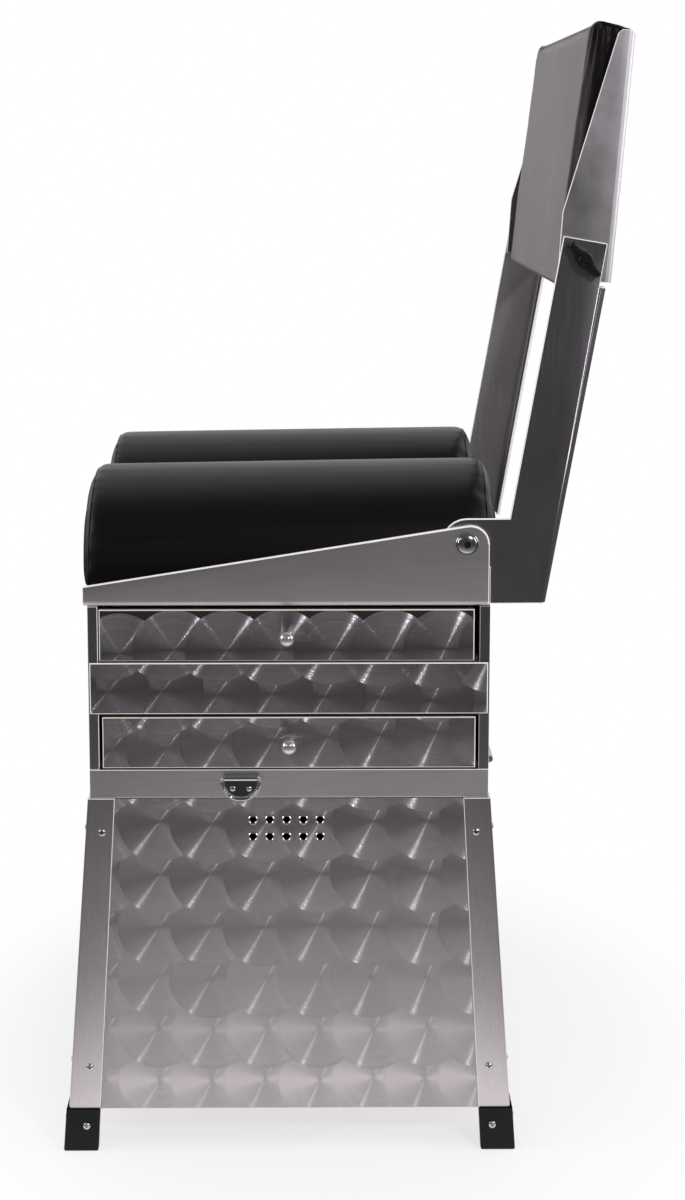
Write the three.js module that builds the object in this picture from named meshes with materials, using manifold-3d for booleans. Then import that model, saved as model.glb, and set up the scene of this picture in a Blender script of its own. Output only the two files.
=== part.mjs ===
// Fishing seat box: a flared base box on four rubber feet, a block of three drawers
// hinged to its back edge, a seat tray with two bolsters, and a folding backrest.
// Millimetres. +Z is up, -X is the front, -Y is the left side of someone sitting on it.

import * as THREE from 'three';
import { mergeVertices } from 'three/addons/utils/BufferGeometryUtils.js';
import Module from 'manifold-3d';

const wasm = await Module();
wasm.setup();

// Overall sizes
const base_top = 266;
const panel_bottom = 31;
const flare = 15.7;
const base_step = 1.5;

// Stock and fits
const clearance = 0.3;
const overrun = 5;
const weld = 1e-4;
const bedding = 0.1;
const thin_sheet = 1.5;
const plywood = 8;

// Base box
const strip_top_width = 20;
const strip_bottom_width = 23.5;
const floor_board_lift = 2;
const cap_wall = 1.4;
const cap_sole = 3;
const cap_inner_wall = 2;
const cap_height = 32.5;
const vent_radius = 3.1;
const vent_sides = 16;
const vent_pitch = 12.4;
const vent_columns = 5;
const vent_row_heights = [249, 236.4];
const vent_shift = -2;
const rim_height = 21.2;
const rim_flange = 10;

// Screws and rivets of the base
const screw = { head: 2.9, rise: 1.8, shank: 1.6, length: 7.2, hole: 2.1, sides: 8 };
const foot_screw = { ...screw, length: 5.6 };
const screw_inset_share = 0.6;
const corner_screw_heights = [240.5, 63.4];
const foot_screw_height = 19.8;

// Every fastener's head is a flat dome
const head_crown_share = 0.65;
const head_shoulder_share = 0.8;
const head_rim_share = 0.3;

// Strap plates and rings
const ring_wire = 1;
const ring_wire_sides = 8;
const ring_half_width = 14.25;
const ring_drop = 16.6;
const ring_corner = 2.5;
const ring_offset = -35.6;
const ring_play = 0.4;
const plate_half_width = 14.5;
const plate_sheet = 0.8;
const knuckle_half_width = 12.2;
const knuckle_wall = 0.65;
const ring_below_rim = 5.6;
const plate_rivet_spacing = 12.2;
const plate_rivet_below_ring = 8.6;
const plate_rivet = { head: 2.4, rise: 1, shank: 1.1, length: 3.4, hole: 1.5, sides: 8 };

// Piano hinge
const hinge_length = 296;
const hinge_knuckles = 12;
const hinge_knuckle_radius = 2.6;
const hinge_pin_radius = 1.1;
const hinge_bore_radius = 1.5;
const hinge_leaf_height = 18;
const hinge_leaf_sheet = 1.2;
const hinge_rivet_count = 5;
const hinge_rivet_distance = 12;
const hinge_rivet = { head: 3, rise: 2.2, shank: 1.5, length: 5, hole: 1.9, sides: 8 };

// Drawer block
const block_height = 123;
const block_wall = 7.5;
const bottom_board = 4;
const shelf_board = 3;
const shelf_drops = [2.2, 1.4];
const face_thickness = 6;
const face_height = 38.6;
const face_lift = 1;
const level_pitch = 40.5;
const face_lap = 1.3;
const upper_drawer_shift = -1.5;
const mid_panel_proud = 2;
const mid_panel_inset = 1.4;
const mid_panel_gap = 0.8;
const drawer_gap = 3.2;
const tray_wall = 1.2;
const tray_height = 34;
const side_tray_width = 272;
const side_tray_play = 3.8;
const side_tray_room = 12.2;
const front_tray_width = 300;
const front_tray_room = 12.8;
const front_post = 20;
const front_window_margin = 2;
const block_length = side_tray_width + 2 * (side_tray_play + block_wall);
const block_width = front_tray_width + 2 * front_post;
const face_width = side_tray_width + 2 * face_lap;
const side_tray_length = block_width - face_thickness - clearance - block_wall - side_tray_room;
const front_tray_length = block_length - face_thickness - clearance - block_wall - front_tray_room;
const knob_radius = 5.75;
const knob_neck_radius = 2.6;
const knob_neck_length = 3.2;

// Seat tray and bolsters
const seat_sheet = 2.5;
const seat_side_proud = 3;
const seat_front_overhang = 2.9;
const seat_rear_inset = 1.3;
const seat_front = block_length / 2 + seat_front_overhang;
const seat_rear = block_length / 2 - seat_rear_inset;
const wedge_tip_height = 15.2;
const wedge_rear_height = 62.6;
const wedge_corner_radius = 14;
const seat_lip = 8.8;
const seat_board = 6;
const bolster_side_room = 10;
const bolster_gap = 3;
const bolster_width = (block_width - bolster_gap) / 2 - bolster_side_room;
const bolster_height = 82;
const bolster_front_overhang = 0.7;
const bolster_rear_overhang = 4.5;
const bolster_edge = 8;
const bolster_foot_inset = 1.5;
const bolster_end_shares = [0, 0.3, 0.62, 1];
const bolster_crown_share = 0.012;

// Backrest arms, measured from their pivot
const pivot_from_rear = 16.5;
const pivot_above_seat = 46.6;
const arm_sheet = 2.5;
const arm_foot_radius = 18;
const arm_stop_gap = 0.6;
const arm_bottom_lift = 1.5;
const arm_rear_reach = 58.2;
const arm_lean = 9.9;
const arm_width = 37.4;
const arm_bend = 5.5;
const arm_height = 222.8;
const arm_flange_depth = 16;
const arm_flange_end = 36.2;
const arm_stop_depth = 9;
const pivot_bolt = { head: 7.5, rise: 3, shank: 4, length: 11, hole: 4.6, sides: 16 };
const pivot_nut_radius = 6.5;
const pivot_nut_height = 3;
const pivot_washer_radius = 8;
const pivot_washer_height = 0.8;

// Back pad and its shell
const knob_inset = 20.1;
const knob_below_arm_top = 16.5;
const shell_lean = 4.6;
const shell_height = 179;
const shell_sheet = 2;
const shell_bend = 5;
const shell_side_play = 0.5;
const shell_side_depth = 40;
const shell_foot_depth = 39.3;
const shell_kink_height = 48;
const shell_top_depth = 13;
const shell_corner = 3;
const knob_from_back = 22.1;
const knob_from_foot = 15.7;
const pad_height = 183;
const pad_foot_depth = 39;
const pad_top_depth = 28.6;
const pad_side_room = 2.2;
const pad_crown = 3.5;
const pad_corner = 20;
const pad_edge = 9;
const pad_side_draw_share = 0.33;
const pad_corner_share = 0.7;
const pad_level_shares = [0, 0.012, 0.045, 0.2, 0.4, 0.6, 0.8, 0.95, 0.985, 1];
const pad_inset_shares = [1, 0.45, 0, 0, 0, 0, 0, 0, 0.4, 1];
const pad_face_shares = [-0.75, -0.5, -0.25, 0, 0.25, 0.5, 0.75];
const clamp_bolt = { head: 6, rise: 1.1, shank: 3, hole: 3.5, sides: 12 };
const wing_length = 34;
const wing_width = 11;
const wing_thickness = 6;
const wing_boss_radius = 7.5;
const wing_boss_height = 9.5;
const wing_end_wall = 2;
const wing_angle = -53;
const wing_tip_share = 0.7;
const wing_sweep_share = 0.45;
const wing_waist_share = 0.6;

// Finishes
const finish = (color, roughness, metalness) =>
  new THREE.MeshStandardMaterial({ color, roughness, metalness });
const spotted_aluminium = finish(0xa09ca0, 0.35, 0.9);
const plain_aluminium = finish(0xb8b6ba, 0.4, 0.9);
const bright_steel = finish(0xc8c8cc, 0.25, 1);
const plywood_brown = finish(0x8a6f60, 0.7, 0);
const black_rubber = finish(0x242226, 0.8, 0);
const black_vinyl = finish(0x1c181c, 0.45, 0);
const black_plastic = finish(0x161417, 0.4, 0);

const radians = THREE.MathUtils.degToRad;
const x_axis = new THREE.Vector3(1, 0, 0);
const y_axis = new THREE.Vector3(0, 1, 0);
const z_axis = new THREE.Vector3(0, 0, 1);

// Geometry helpers

// Only positions, welded, with every face turned outwards.
function closed(geometry) {
  const bare = geometry.clone();
  bare.deleteAttribute('normal');
  bare.deleteAttribute('uv');
  const merged = mergeVertices(bare, weld);
  const points = merged.getAttribute('position');
  const index = merged.getIndex().array;
  const corner = [0, 1, 2].map(() => new THREE.Vector3());
  let volume = 0;
  for (let face = 0; face < index.length; face += 3) {
    corner.forEach((point, k) => point.fromBufferAttribute(points, index[face + k]));
    volume += corner[0].dot(corner[1].clone().cross(corner[2]));
  }
  if (volume < 0) merged.setIndex(Array.from(index).reverse());
  merged.computeVertexNormals();
  return merged;
}

function to_manifold(geometry) {
  const merged = closed(geometry);
  return new wasm.Manifold(new wasm.Mesh({
    numProp: 3,
    vertProperties: new Float32Array(merged.getAttribute('position').array),
    triVerts: new Uint32Array(merged.getIndex().array),
  }));
}

function to_geometry(manifold) {
  const mesh = manifold.getMesh();
  const geometry = new THREE.BufferGeometry();
  geometry.setAttribute('position', new THREE.BufferAttribute(mesh.vertProperties, 3));
  geometry.setIndex(Array.from(mesh.triVerts));
  geometry.computeVertexNormals();
  return geometry;
}

const join = (...parts) => to_geometry(parts.map(to_manifold).reduce((a, b) => a.add(b)));
const cut = (body, ...tools) =>
  to_geometry(tools.map(to_manifold).reduce((a, b) => a.subtract(b), to_manifold(body)));
const common = (a, b) => to_geometry(to_manifold(a).intersect(to_manifold(b)));

function box(low, high) {
  const size = high.map((value, k) => value - low[k]);
  const middle = high.map((value, k) => (value + low[k]) / 2);
  return closed(new THREE.BoxGeometry(...size).translate(...middle));
}

// An outline of [a, b] points, pushed from low to high along the third axis of the basis.
function prism(outline, low, high, basis) {
  const shape = new THREE.Shape(outline.map(([a, b]) => new THREE.Vector2(a, b)));
  const solid = new THREE.ExtrudeGeometry(shape, { depth: high - low, bevelEnabled: false });
  solid.translate(0, 0, low);
  return closed(solid.applyMatrix4(new THREE.Matrix4().makeBasis(...basis)));
}

// An outline of [x, z] points between two places along Y.
const side_plate = (outline, low, high) =>
  prism(outline, -high, -low, [x_axis, z_axis, y_axis.clone().negate()]);

// An outline of [y, z] points between two places along X.
const cross_prism = (outline, low, high) => prism(outline, low, high, [y_axis, z_axis, x_axis]);

// A round rod between two places along one axis, through a point.
function rod(radius, axis, point, low, high, sides) {
  const cylinder = new THREE.CylinderGeometry(radius, radius, high - low, sides);
  cylinder.translate(0, (high + low) / 2, 0);
  const turn = new THREE.Quaternion().setFromUnitVectors(y_axis, axis);
  return closed(cylinder.applyQuaternion(turn).translate(...point));
}

// Closed rings of points, joined one to the next, with both ends capped.
function loft(rings, cap_axes) {
  const count = rings[0].length;
  const flat = rings[0].map((point) => new THREE.Vector2(...cap_axes.map((axis) => point[axis])));
  const caps = THREE.ShapeUtils.triangulateShape(flat, []);
  const clockwise = THREE.ShapeUtils.isClockWise(flat);
  const index = [];
  const last = (rings.length - 1) * count;
  for (const [a, b, c] of caps) {
    index.push(c, b, a, last + a, last + b, last + c);
  }
  for (let ring = 0; ring + 1 < rings.length; ring += 1) {
    for (let k = 0; k < count; k += 1) {
      const a = ring * count + k;
      const b = ring * count + ((k + 1) % count);
      const quad = clockwise
        ? [b, a, a + count, b, a + count, b + count]
        : [a, b, a + count, b, b + count, a + count];
      index.push(...quad);
    }
  }
  const geometry = new THREE.BufferGeometry();
  geometry.setAttribute('position', new THREE.Float32BufferAttribute(rings.flat(2), 3));
  geometry.setIndex(index);
  return closed(geometry);
}

// Points on a circle in a plane, from one angle to another, both ends included.
function arc([a, b], radius, from, to, steps) {
  return Array.from({ length: steps + 1 }, (_, k) => {
    const angle = radians(from + ((to - from) * k) / steps);
    return [a + radius * Math.cos(angle), b + radius * Math.sin(angle)];
  });
}

// A round-headed screw, rivet or bolt that stands on a surface, with its shank below.
function fastener(kind, { point, normal }, lift) {
  const profile = [
    [0, kind.rise],
    [kind.head * head_crown_share, kind.rise * head_shoulder_share],
    [kind.head, kind.rise * head_rim_share],
    [kind.head, 0],
    [kind.shank, 0],
    [kind.shank, -kind.length],
    [0, -kind.length],
  ].map(([r, h]) => new THREE.Vector2(r, h));
  const turned = new THREE.LatheGeometry(profile, kind.sides);
  turned.translate(0, lift, 0);
  turned.applyQuaternion(new THREE.Quaternion().setFromUnitVectors(y_axis, normal));
  return closed(turned.translate(...point.toArray()));
}

// A piece with the screws or rivets that hold it, their heads tight on its surface.
const fastened = (body, kind, places) =>
  join(body, ...places.map((place) => fastener(kind, place, -bedding)));

// The holes for the same fasteners, drilled along the same lines.
function drilled(body, kind, places) {
  const holes = places.map(({ point, normal }) =>
    rod(kind.hole, normal, point.toArray(), -kind.length - clearance, overrun, kind.sides));
  return cut(body, ...holes);
}

function mesh(name, geometry, material) {
  const piece = new THREE.Mesh(geometry, material);
  piece.name = name;
  return piece;
}

function group(...members) {
  const holder = new THREE.Group();
  if (members.length) holder.add(...members);
  return holder;
}

function mirrored(piece, axis) {
  const holder = group(piece);
  holder.scale[axis] = -1;
  return holder;
}

// A piece of the left side, and its mirror image on the right.
const left_and_right = (name, geometry, material) => [
  mesh(`${name}_left`, geometry, material),
  mirrored(mesh(`${name}_right`, geometry, material), 'y'),
];

// Base box

const block_half_x = block_length / 2;
const block_half_y = block_width / 2;
const flare_angle = Math.atan(flare / (base_top - panel_bottom));
const spread = (z) => (flare * (base_top - z)) / (base_top - panel_bottom);
const base_half_x = (z) => block_half_x + base_step + spread(z);
const base_half_y = (z) => block_half_y + base_step + spread(z);
const strip_width = (z) =>
  strip_top_width + ((strip_bottom_width - strip_top_width) * spread(z)) / flare;

// The L of a corner angle at one height, in the +X +Y corner.
function corner_ring(z, outset, width, thickness) {
  const x = base_half_x(z) + outset;
  const y = base_half_y(z) + outset;
  return [
    [x, y, z],
    [x - width, y, z],
    [x - width, y - thickness, z],
    [x - thickness, y - thickness, z],
    [x - thickness, y - width, z],
    [x, y - width, z],
  ];
}

function corner_loft(low, high, outset, extra_width, thickness) {
  return loft([low, high].map((z) =>
    corner_ring(z, outset, strip_width(z) + extra_width, thickness)), [0, 1]);
}

const quarters = [
  [1, 1, 'back_right'],
  [1, -1, 'back_left'],
  [-1, 1, 'front_right'],
  [-1, -1, 'front_left'],
];

// Where a screw stands on the two faces of one corner, at one height.
function corner_places(z, outset, [sign_x, sign_y]) {
  const inset = strip_width(z) * screw_inset_share;
  const up = Math.sin(flare_angle);
  const out = Math.cos(flare_angle);
  const x = base_half_x(z);
  const y = base_half_y(z);
  return [
    {
      point: new THREE.Vector3(sign_x * (x - inset), sign_y * (y + outset), z),
      normal: new THREE.Vector3(0, sign_y * out, up),
      side: 'y',
    },
    {
      point: new THREE.Vector3(sign_x * (x + outset), sign_y * (y - inset), z),
      normal: new THREE.Vector3(sign_x * out, 0, up),
      side: 'x',
    },
  ];
}

const corner_screw_places = quarters.flatMap((quarter) =>
  corner_screw_heights.flatMap((z) => corner_places(z, 0, quarter)));
const foot_screw_places = quarters.flatMap((quarter) =>
  corner_places(foot_screw_height, clearance + cap_wall, quarter));
const first_quarter = ({ point }) => point.x > 0 && point.y > 0;

function corner_angle() {
  const bottom = cap_sole + clearance;
  const angle = corner_loft(bottom, base_top - clearance, 0, 0, thin_sheet);
  const fixed = fastened(angle, screw, corner_screw_places.filter(first_quarter));
  return drilled(fixed, foot_screw, foot_screw_places.filter(first_quarter));
}

function foot_cap() {
  const outset = clearance + cap_wall;
  const thickness = cap_wall + thin_sheet + cap_inner_wall + 2 * clearance;
  const boot = corner_loft(0, cap_height, outset, outset, thickness);
  const slot = corner_loft(cap_sole, cap_height + overrun, clearance, clearance + overrun,
    thin_sheet + 2 * clearance);
  const inner_top = panel_bottom - clearance;
  const under_panel = corner_loft(inner_top, cap_height + overrun, clearance, clearance + overrun,
    thickness);
  const cap = cut(boot, slot, under_panel);
  return fastened(cap, foot_screw, foot_screw_places.filter(first_quarter));
}

const panel_outset = -(thin_sheet + clearance);
const panel_top = base_top - clearance;

// A board whose outline changes with its height.
function tapered_board(low, high, outline) {
  return loft([low, high].map((z) => outline(z).map(([x, y]) => [x, y, z])), [0, 1]);
}

function side_panel() {
  const board = tapered_board(panel_bottom, panel_top, (z) => {
    const x = base_half_x(z) + panel_outset;
    const y = base_half_y(z) + panel_outset;
    return [[-x, -y], [x, -y], [x, plywood - y], [-x, plywood - y]];
  });
  const left_screws = corner_screw_places.filter(({ point, side }) => side === 'y' && point.y < 0);
  const vents = vent_row_heights.flatMap((z) =>
    Array.from({ length: vent_columns }, (_, k) => {
      const x = vent_shift + (k - (vent_columns - 1) / 2) * vent_pitch;
      const y = base_half_y(z);
      return rod(vent_radius, y_axis, [x, -y, z], -overrun, plywood + overrun, vent_sides);
    }));
  return cut(drilled(board, screw, left_screws), ...vents);
}

function end_panel() {
  const board = tapered_board(panel_bottom, panel_top, (z) => {
    const x = base_half_x(z) + panel_outset;
    const y = base_half_y(z) + panel_outset - plywood - clearance;
    return [[-x, -y], [plywood - x, -y], [plywood - x, y], [-x, y]];
  });
  const front_screws = corner_screw_places.filter(({ point, side }) => side === 'x' && point.x < 0);
  return drilled(board, screw, front_screws);
}

const floor_board_bottom = panel_bottom + floor_board_lift;
const floor_board_top = floor_board_bottom + plywood;

function floor_board() {
  return tapered_board(floor_board_bottom, floor_board_top, (z) => {
    const x = base_half_x(z) + panel_outset - plywood - clearance;
    const y = base_half_y(z) + panel_outset - plywood - clearance;
    return [[-x, -y], [x, -y], [x, y], [-x, y]];
  });
}

const rim_top = base_top + rim_height;
const joint_height = rim_top + clearance / 2;
const hinge_x = block_half_x + clearance + hinge_knuckle_radius;

const slab = (half_x, half_y, low, high) => box([-half_x, -half_y, low], [half_x, half_y, high]);

function rim_frame() {
  const outer = thin_sheet + clearance;
  const inner = outer + plywood;
  const top = rim_top - thin_sheet - clearance;
  return cut(
    slab(block_half_x - outer, block_half_y - outer, base_top, top),
    slab(block_half_x - inner, block_half_y - inner, base_top - overrun, top + overrun),
  );
}

function rim_band() {
  return cut(
    slab(block_half_x, block_half_y, base_top, rim_top),
    slab(block_half_x - thin_sheet, block_half_y - thin_sheet, base_top - overrun, rim_top - thin_sheet),
    slab(block_half_x - rim_flange, block_half_y - rim_flange, base_top - overrun, rim_top + overrun),
  );
}

// Strap plates and rings, on the left side

const ring_radius_out = ring_wire + ring_play + knuckle_wall;
const ring_y = -(block_half_y + clearance + ring_radius_out);
const ring_z = rim_top - ring_below_rim;
const plate_rivet_places = [-1, 1].map((side) => ({
  point: new THREE.Vector3(
    ring_offset + (side * plate_rivet_spacing) / 2,
    -(block_half_y + clearance + plate_sheet),
    ring_z - plate_rivet_below_ring,
  ),
  normal: y_axis.clone().negate(),
}));

function strap_plate() {
  const round_z = base_top - thin_sheet + plate_half_width;
  const outline = [
    [ring_offset + knuckle_half_width, ring_z],
    [ring_offset - knuckle_half_width, ring_z],
    ...arc([ring_offset, round_z], plate_half_width, 180, 360, 16),
  ];
  const back = -(block_half_y + clearance);
  const plate = side_plate(outline, back - plate_sheet, back);
  const centre = [ring_offset, ring_y, ring_z];
  const knuckle = rod(ring_radius_out, x_axis, centre, -knuckle_half_width, knuckle_half_width, 16);
  const bore = rod(ring_wire + ring_play, x_axis, centre, -plate_half_width, plate_half_width, 16);
  return fastened(cut(join(plate, knuckle), bore), plate_rivet, plate_rivet_places);
}

// The D of the ring hangs from its straight bar.
function strap_ring() {
  const low = ring_half_width - ring_drop;
  const corner_x = ring_half_width - ring_corner;
  const outline = [
    ...arc([corner_x, -ring_corner], ring_corner, 90, 0, 2),
    ...arc([0, low], ring_half_width, 0, -180, 12),
    ...arc([-corner_x, -ring_corner], ring_corner, 180, 90, 2),
  ];
  const rings = outline.map(([x, z], k) => {
    const before = outline[(k + outline.length - 1) % outline.length];
    const after = outline[(k + 1) % outline.length];
    const along = new THREE.Vector2(after[0] - before[0], after[1] - before[1]).normalize();
    return Array.from({ length: ring_wire_sides }, (_, side) => {
      const angle = (2 * Math.PI * (side + 0.5)) / ring_wire_sides;
      const out = ring_wire * Math.cos(angle);
      return [
        ring_offset + x - along.y * out,
        ring_y + ring_wire * Math.sin(angle),
        ring_z + z + along.x * out,
      ];
    });
  });
  return closed_sweep(rings);
}

// Rings of points joined one to the next, and the last to the first.
function closed_sweep(rings) {
  const count = rings[0].length;
  const total = rings.length * count;
  const index = [];
  rings.forEach((_, ring) => {
    for (let k = 0; k < count; k += 1) {
      const a = ring * count + k;
      const b = ring * count + ((k + 1) % count);
      index.push(a, b, (a + count) % total, b, (b + count) % total, (a + count) % total);
    }
  });
  const geometry = new THREE.BufferGeometry();
  geometry.setAttribute('position', new THREE.Float32BufferAttribute(rings.flat(2), 3));
  geometry.setIndex(index);
  return closed(geometry);
}

// Piano hinge at the back, with its axis on the joint between base and block

const hinge_axis_point = [hinge_x, 0, joint_height];
const hinge_pitch = hinge_length / hinge_knuckles;

function hinge_spans(own, play) {
  return Array.from({ length: hinge_knuckles }, (_, k) => k)
    .filter((k) => (k % 2 === 0) === own)
    .map((k) => {
      const low = k * hinge_pitch - hinge_length / 2;
      return [low + play, low + hinge_pitch - play];
    });
}

function hinge_leaf(rises, places) {
  const own = !rises;
  const face = block_half_x + clearance;
  const low = rises ? joint_height : joint_height - hinge_leaf_height;
  const high = rises ? joint_height + hinge_leaf_height : joint_height;
  const half = hinge_length / 2;
  const leaf = box([face, -half, low], [face + hinge_leaf_sheet, half, high]);
  const knuckles = hinge_spans(own, clearance / 2).map(([from, to]) =>
    rod(hinge_knuckle_radius, y_axis, hinge_axis_point, from, to, 12));
  const notches = hinge_spans(!own, -clearance / 2).map(([from, to]) =>
    rod(hinge_knuckle_radius + 2 * clearance, y_axis, hinge_axis_point, from, to, 12));
  const bore = rod(hinge_bore_radius, y_axis, hinge_axis_point, -hinge_length, hinge_length, 12);
  const hinge = cut(join(cut(leaf, ...notches), ...knuckles), bore);
  return fastened(hinge, hinge_rivet, places);
}

function hinge_places(rises) {
  return Array.from({ length: hinge_rivet_count }, (_, k) => ({
    point: new THREE.Vector3(
      block_half_x + clearance + hinge_leaf_sheet,
      ((k + 0.5) / hinge_rivet_count - 0.5) * hinge_length,
      joint_height + (rises ? hinge_rivet_distance : -hinge_rivet_distance),
    ),
    normal: x_axis.clone(),
  }));
}

const base_hinge_places = hinge_places(false);
const block_hinge_places = hinge_places(true);

// The same place on the other side of the box.
function across({ point, normal }) {
  const flip = new THREE.Vector3(1, -1, 1);
  return { point: point.clone().multiply(flip), normal: normal.clone().multiply(flip) };
}

function base_assembly() {
  const angle = corner_angle();
  const cap = foot_cap();
  const side = side_panel();
  const end = end_panel();
  const both_sides = [...plate_rivet_places, ...plate_rivet_places.map(across)];
  const rim_drilled = (body) =>
    drilled(drilled(body, plate_rivet, both_sides), hinge_rivet, base_hinge_places);
  const pin_half = hinge_length / 2;
  const pin = rod(hinge_pin_radius, y_axis, hinge_axis_point, -pin_half, pin_half, 10);
  return group(
    mesh('base_floor_board', floor_board(), plywood_brown),
    mesh('base_left_panel', side, spotted_aluminium),
    mirrored(mesh('base_right_panel', side, spotted_aluminium), 'y'),
    mesh('base_front_panel', end, spotted_aluminium),
    mirrored(mesh('base_back_panel', end, spotted_aluminium), 'x'),
    ...quarters.map(([sign_x, sign_y, name]) => {
      const corner = group(
        mesh(`corner_angle_${name}`, angle, plain_aluminium),
        mesh(`foot_cap_${name}`, cap, black_rubber),
      );
      corner.scale.set(sign_x, sign_y, 1);
      return corner;
    }),
    mesh('rim_frame', rim_drilled(rim_frame()), plywood_brown),
    mesh('rim_band', rim_drilled(rim_band()), plain_aluminium),
    ...left_and_right('strap_plate', strap_plate(), plain_aluminium),
    ...left_and_right('strap_ring', strap_ring(), bright_steel),
    mesh('hinge_base_leaf', hinge_leaf(false, base_hinge_places), plain_aluminium),
    mesh('hinge_pin', pin, bright_steel),
  );
}

// Drawer block

const block_bottom = rim_top + clearance;
const block_top = block_bottom + block_height;
const bay_half_x = block_half_x - block_wall;
const bay_half_y = block_half_y - block_wall;
const face_bottom = (level) => block_bottom + face_lift + level * level_pitch;
const shelf_bottoms = shelf_drops.map((drop, below) => face_bottom(below + 1) - drop);
const tray_bottoms = [block_bottom + bottom_board, ...shelf_bottoms.map((low) => low + shelf_board)]
  .map((top) => top + clearance);
const mid_panel_bottom = face_bottom(0) + face_height + drawer_gap;
const mid_panel_top = face_bottom(2) - mid_panel_gap;
const board_half_x = bay_half_x - clearance;
const board_front_y = -(block_half_y - face_thickness - clearance);
const board_back_y = bay_half_y - clearance;
const board = (bottom, thickness) =>
  box([-board_half_x, board_front_y, bottom], [board_half_x, board_back_y, bottom + thickness]);

const window_half_width = front_tray_width / 2 + front_window_margin;
const window_bottom = shelf_bottoms[0] + shelf_board;
const window_top = shelf_bottoms[1];

function front_panel() {
  return cut(
    box([-block_half_x, -block_half_y, block_bottom], [-bay_half_x, block_half_y, block_top]),
    box([-block_half_x - overrun, -window_half_width, window_bottom],
      [overrun - bay_half_x, window_half_width, window_top]),
  );
}

function back_panel() {
  const panel = box([bay_half_x, -block_half_y, block_bottom], [block_half_x, block_half_y, block_top]);
  return drilled(panel, hinge_rivet, block_hinge_places);
}

// A skin that covers the edges of its neighbours, on a board that fits between them.
function fixed_left_panel() {
  const skin_half = block_half_x - mid_panel_inset;
  const skin_back = -(block_half_y + clearance);
  return join(
    box([-skin_half, skin_back - mid_panel_proud, mid_panel_bottom],
      [skin_half, skin_back, mid_panel_top]),
    box([-board_half_x, skin_back - mid_panel_proud / 2, mid_panel_bottom],
      [board_half_x, board_front_y - clearance, mid_panel_top]),
  );
}

// A drawer that opens towards -Y, with the middle of its face at the origin.
function drawer(name, width, height, tray_width, tray_length, tray_low) {
  const half = tray_width / 2;
  const front = face_thickness + clearance;
  const tray = cut(
    box([-half, front, tray_low], [half, front + tray_length, tray_low + tray_height]),
    box([tray_wall - half, front + tray_wall, tray_low + tray_wall],
      [half - tray_wall, front + tray_length - tray_wall, tray_low + tray_height + overrun]),
  );
  const face = box([-width / 2, 0, -height / 2], [width / 2, face_thickness, height / 2]);
  const ball = arc([0, knob_neck_length + knob_radius], knob_radius, 90, -60, 8);
  const profile = [
    ...ball.map(([r, h]) => new THREE.Vector2(Math.max(r, 0), h)),
    new THREE.Vector2(knob_neck_radius, 0),
    new THREE.Vector2(0, 0),
  ];
  const knob = new THREE.LatheGeometry(profile, 16);
  knob.rotateX(Math.PI).translate(0, -clearance, 0);
  return group(
    mesh(`${name}_tray`, tray, plain_aluminium),
    mesh(`${name}_face`, face, spotted_aluminium),
    mesh(`${name}_knob`, closed(knob), bright_steel),
  );
}

function side_drawer(name, level, shift) {
  const middle = face_bottom(level) + face_height / 2;
  const holder = drawer(name, face_width, face_height, side_tray_width, side_tray_length,
    tray_bottoms[level] - middle);
  holder.position.set(shift, -block_half_y, middle);
  return holder;
}

function front_drawer() {
  const height = window_top - window_bottom - 2 * front_window_margin;
  const middle = (window_top + window_bottom) / 2;
  const holder = drawer('front_drawer', front_tray_width + front_window_margin, height,
    front_tray_width, front_tray_length, tray_bottoms[1] - middle);
  holder.rotation.z = -Math.PI / 2;
  holder.position.set(-block_half_x, 0, middle);
  return holder;
}

// Seat tray and bolsters

const seat_bottom = block_top + clearance;
const seat_floor = seat_bottom + seat_sheet;
const board_top = seat_floor + clearance + seat_board;
const seat_side = block_half_y + seat_side_proud;
const pivot = [seat_rear - pivot_from_rear, 0, seat_bottom + pivot_above_seat];
const arm_outer = seat_side - seat_sheet - clearance;

const pivot_places = [-1, 1].map((side) => ({
  point: new THREE.Vector3(pivot[0], side * seat_side, pivot[2]),
  normal: new THREE.Vector3(0, side, 0),
}));

// The long wedge of the seat's sides: low at the front, round over the pivot at the back.
function wedge_outline() {
  const length = seat_front + seat_rear;
  const slope = Math.atan((wedge_rear_height - wedge_tip_height) / length);
  const centre_x = seat_rear - wedge_corner_radius;
  const line_z = seat_bottom + wedge_tip_height + (centre_x + seat_front) * Math.tan(slope);
  const centre_z = line_z - wedge_corner_radius / Math.cos(slope);
  const slope_degrees = THREE.MathUtils.radToDeg(slope);
  return [
    [-seat_front, seat_bottom],
    [seat_rear, seat_bottom],
    ...arc([centre_x, centre_z], wedge_corner_radius, 0, 90 + slope_degrees, 8),
    [-seat_front, seat_bottom + wedge_tip_height],
  ];
}

function seat_tray() {
  const bend = 2 * seat_sheet;
  const inner_bend = bend - seat_sheet;
  const high = seat_bottom + wedge_rear_height + overrun;
  const fold_z = seat_bottom + bend;
  const fold_y = seat_side - bend;
  const section = [
    [-seat_side, high],
    ...arc([-fold_y, fold_z], bend, 180, 270, 4),
    ...arc([fold_y, fold_z], bend, 270, 360, 4),
    [seat_side, high],
    [seat_side - seat_sheet, high],
    ...arc([fold_y, fold_z], inner_bend, 360, 270, 4),
    ...arc([-fold_y, fold_z], inner_bend, 270, 180, 4),
    [seat_sheet - seat_side, high],
  ];
  const folded = cross_prism(section, -seat_front - overrun, seat_rear + overrun);
  const trimmed = common(folded, side_plate(wedge_outline(), -seat_side - overrun, seat_side + overrun));
  const lip_top = seat_bottom + seat_lip;
  const lips = [
    box([-seat_front, -fold_y, seat_bottom], [seat_sheet - seat_front, fold_y, lip_top]),
    box([seat_rear - seat_sheet, -fold_y, seat_bottom], [seat_rear, fold_y, lip_top]),
  ];
  return drilled(join(trimmed, ...lips), pivot_bolt, pivot_places);
}

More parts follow.
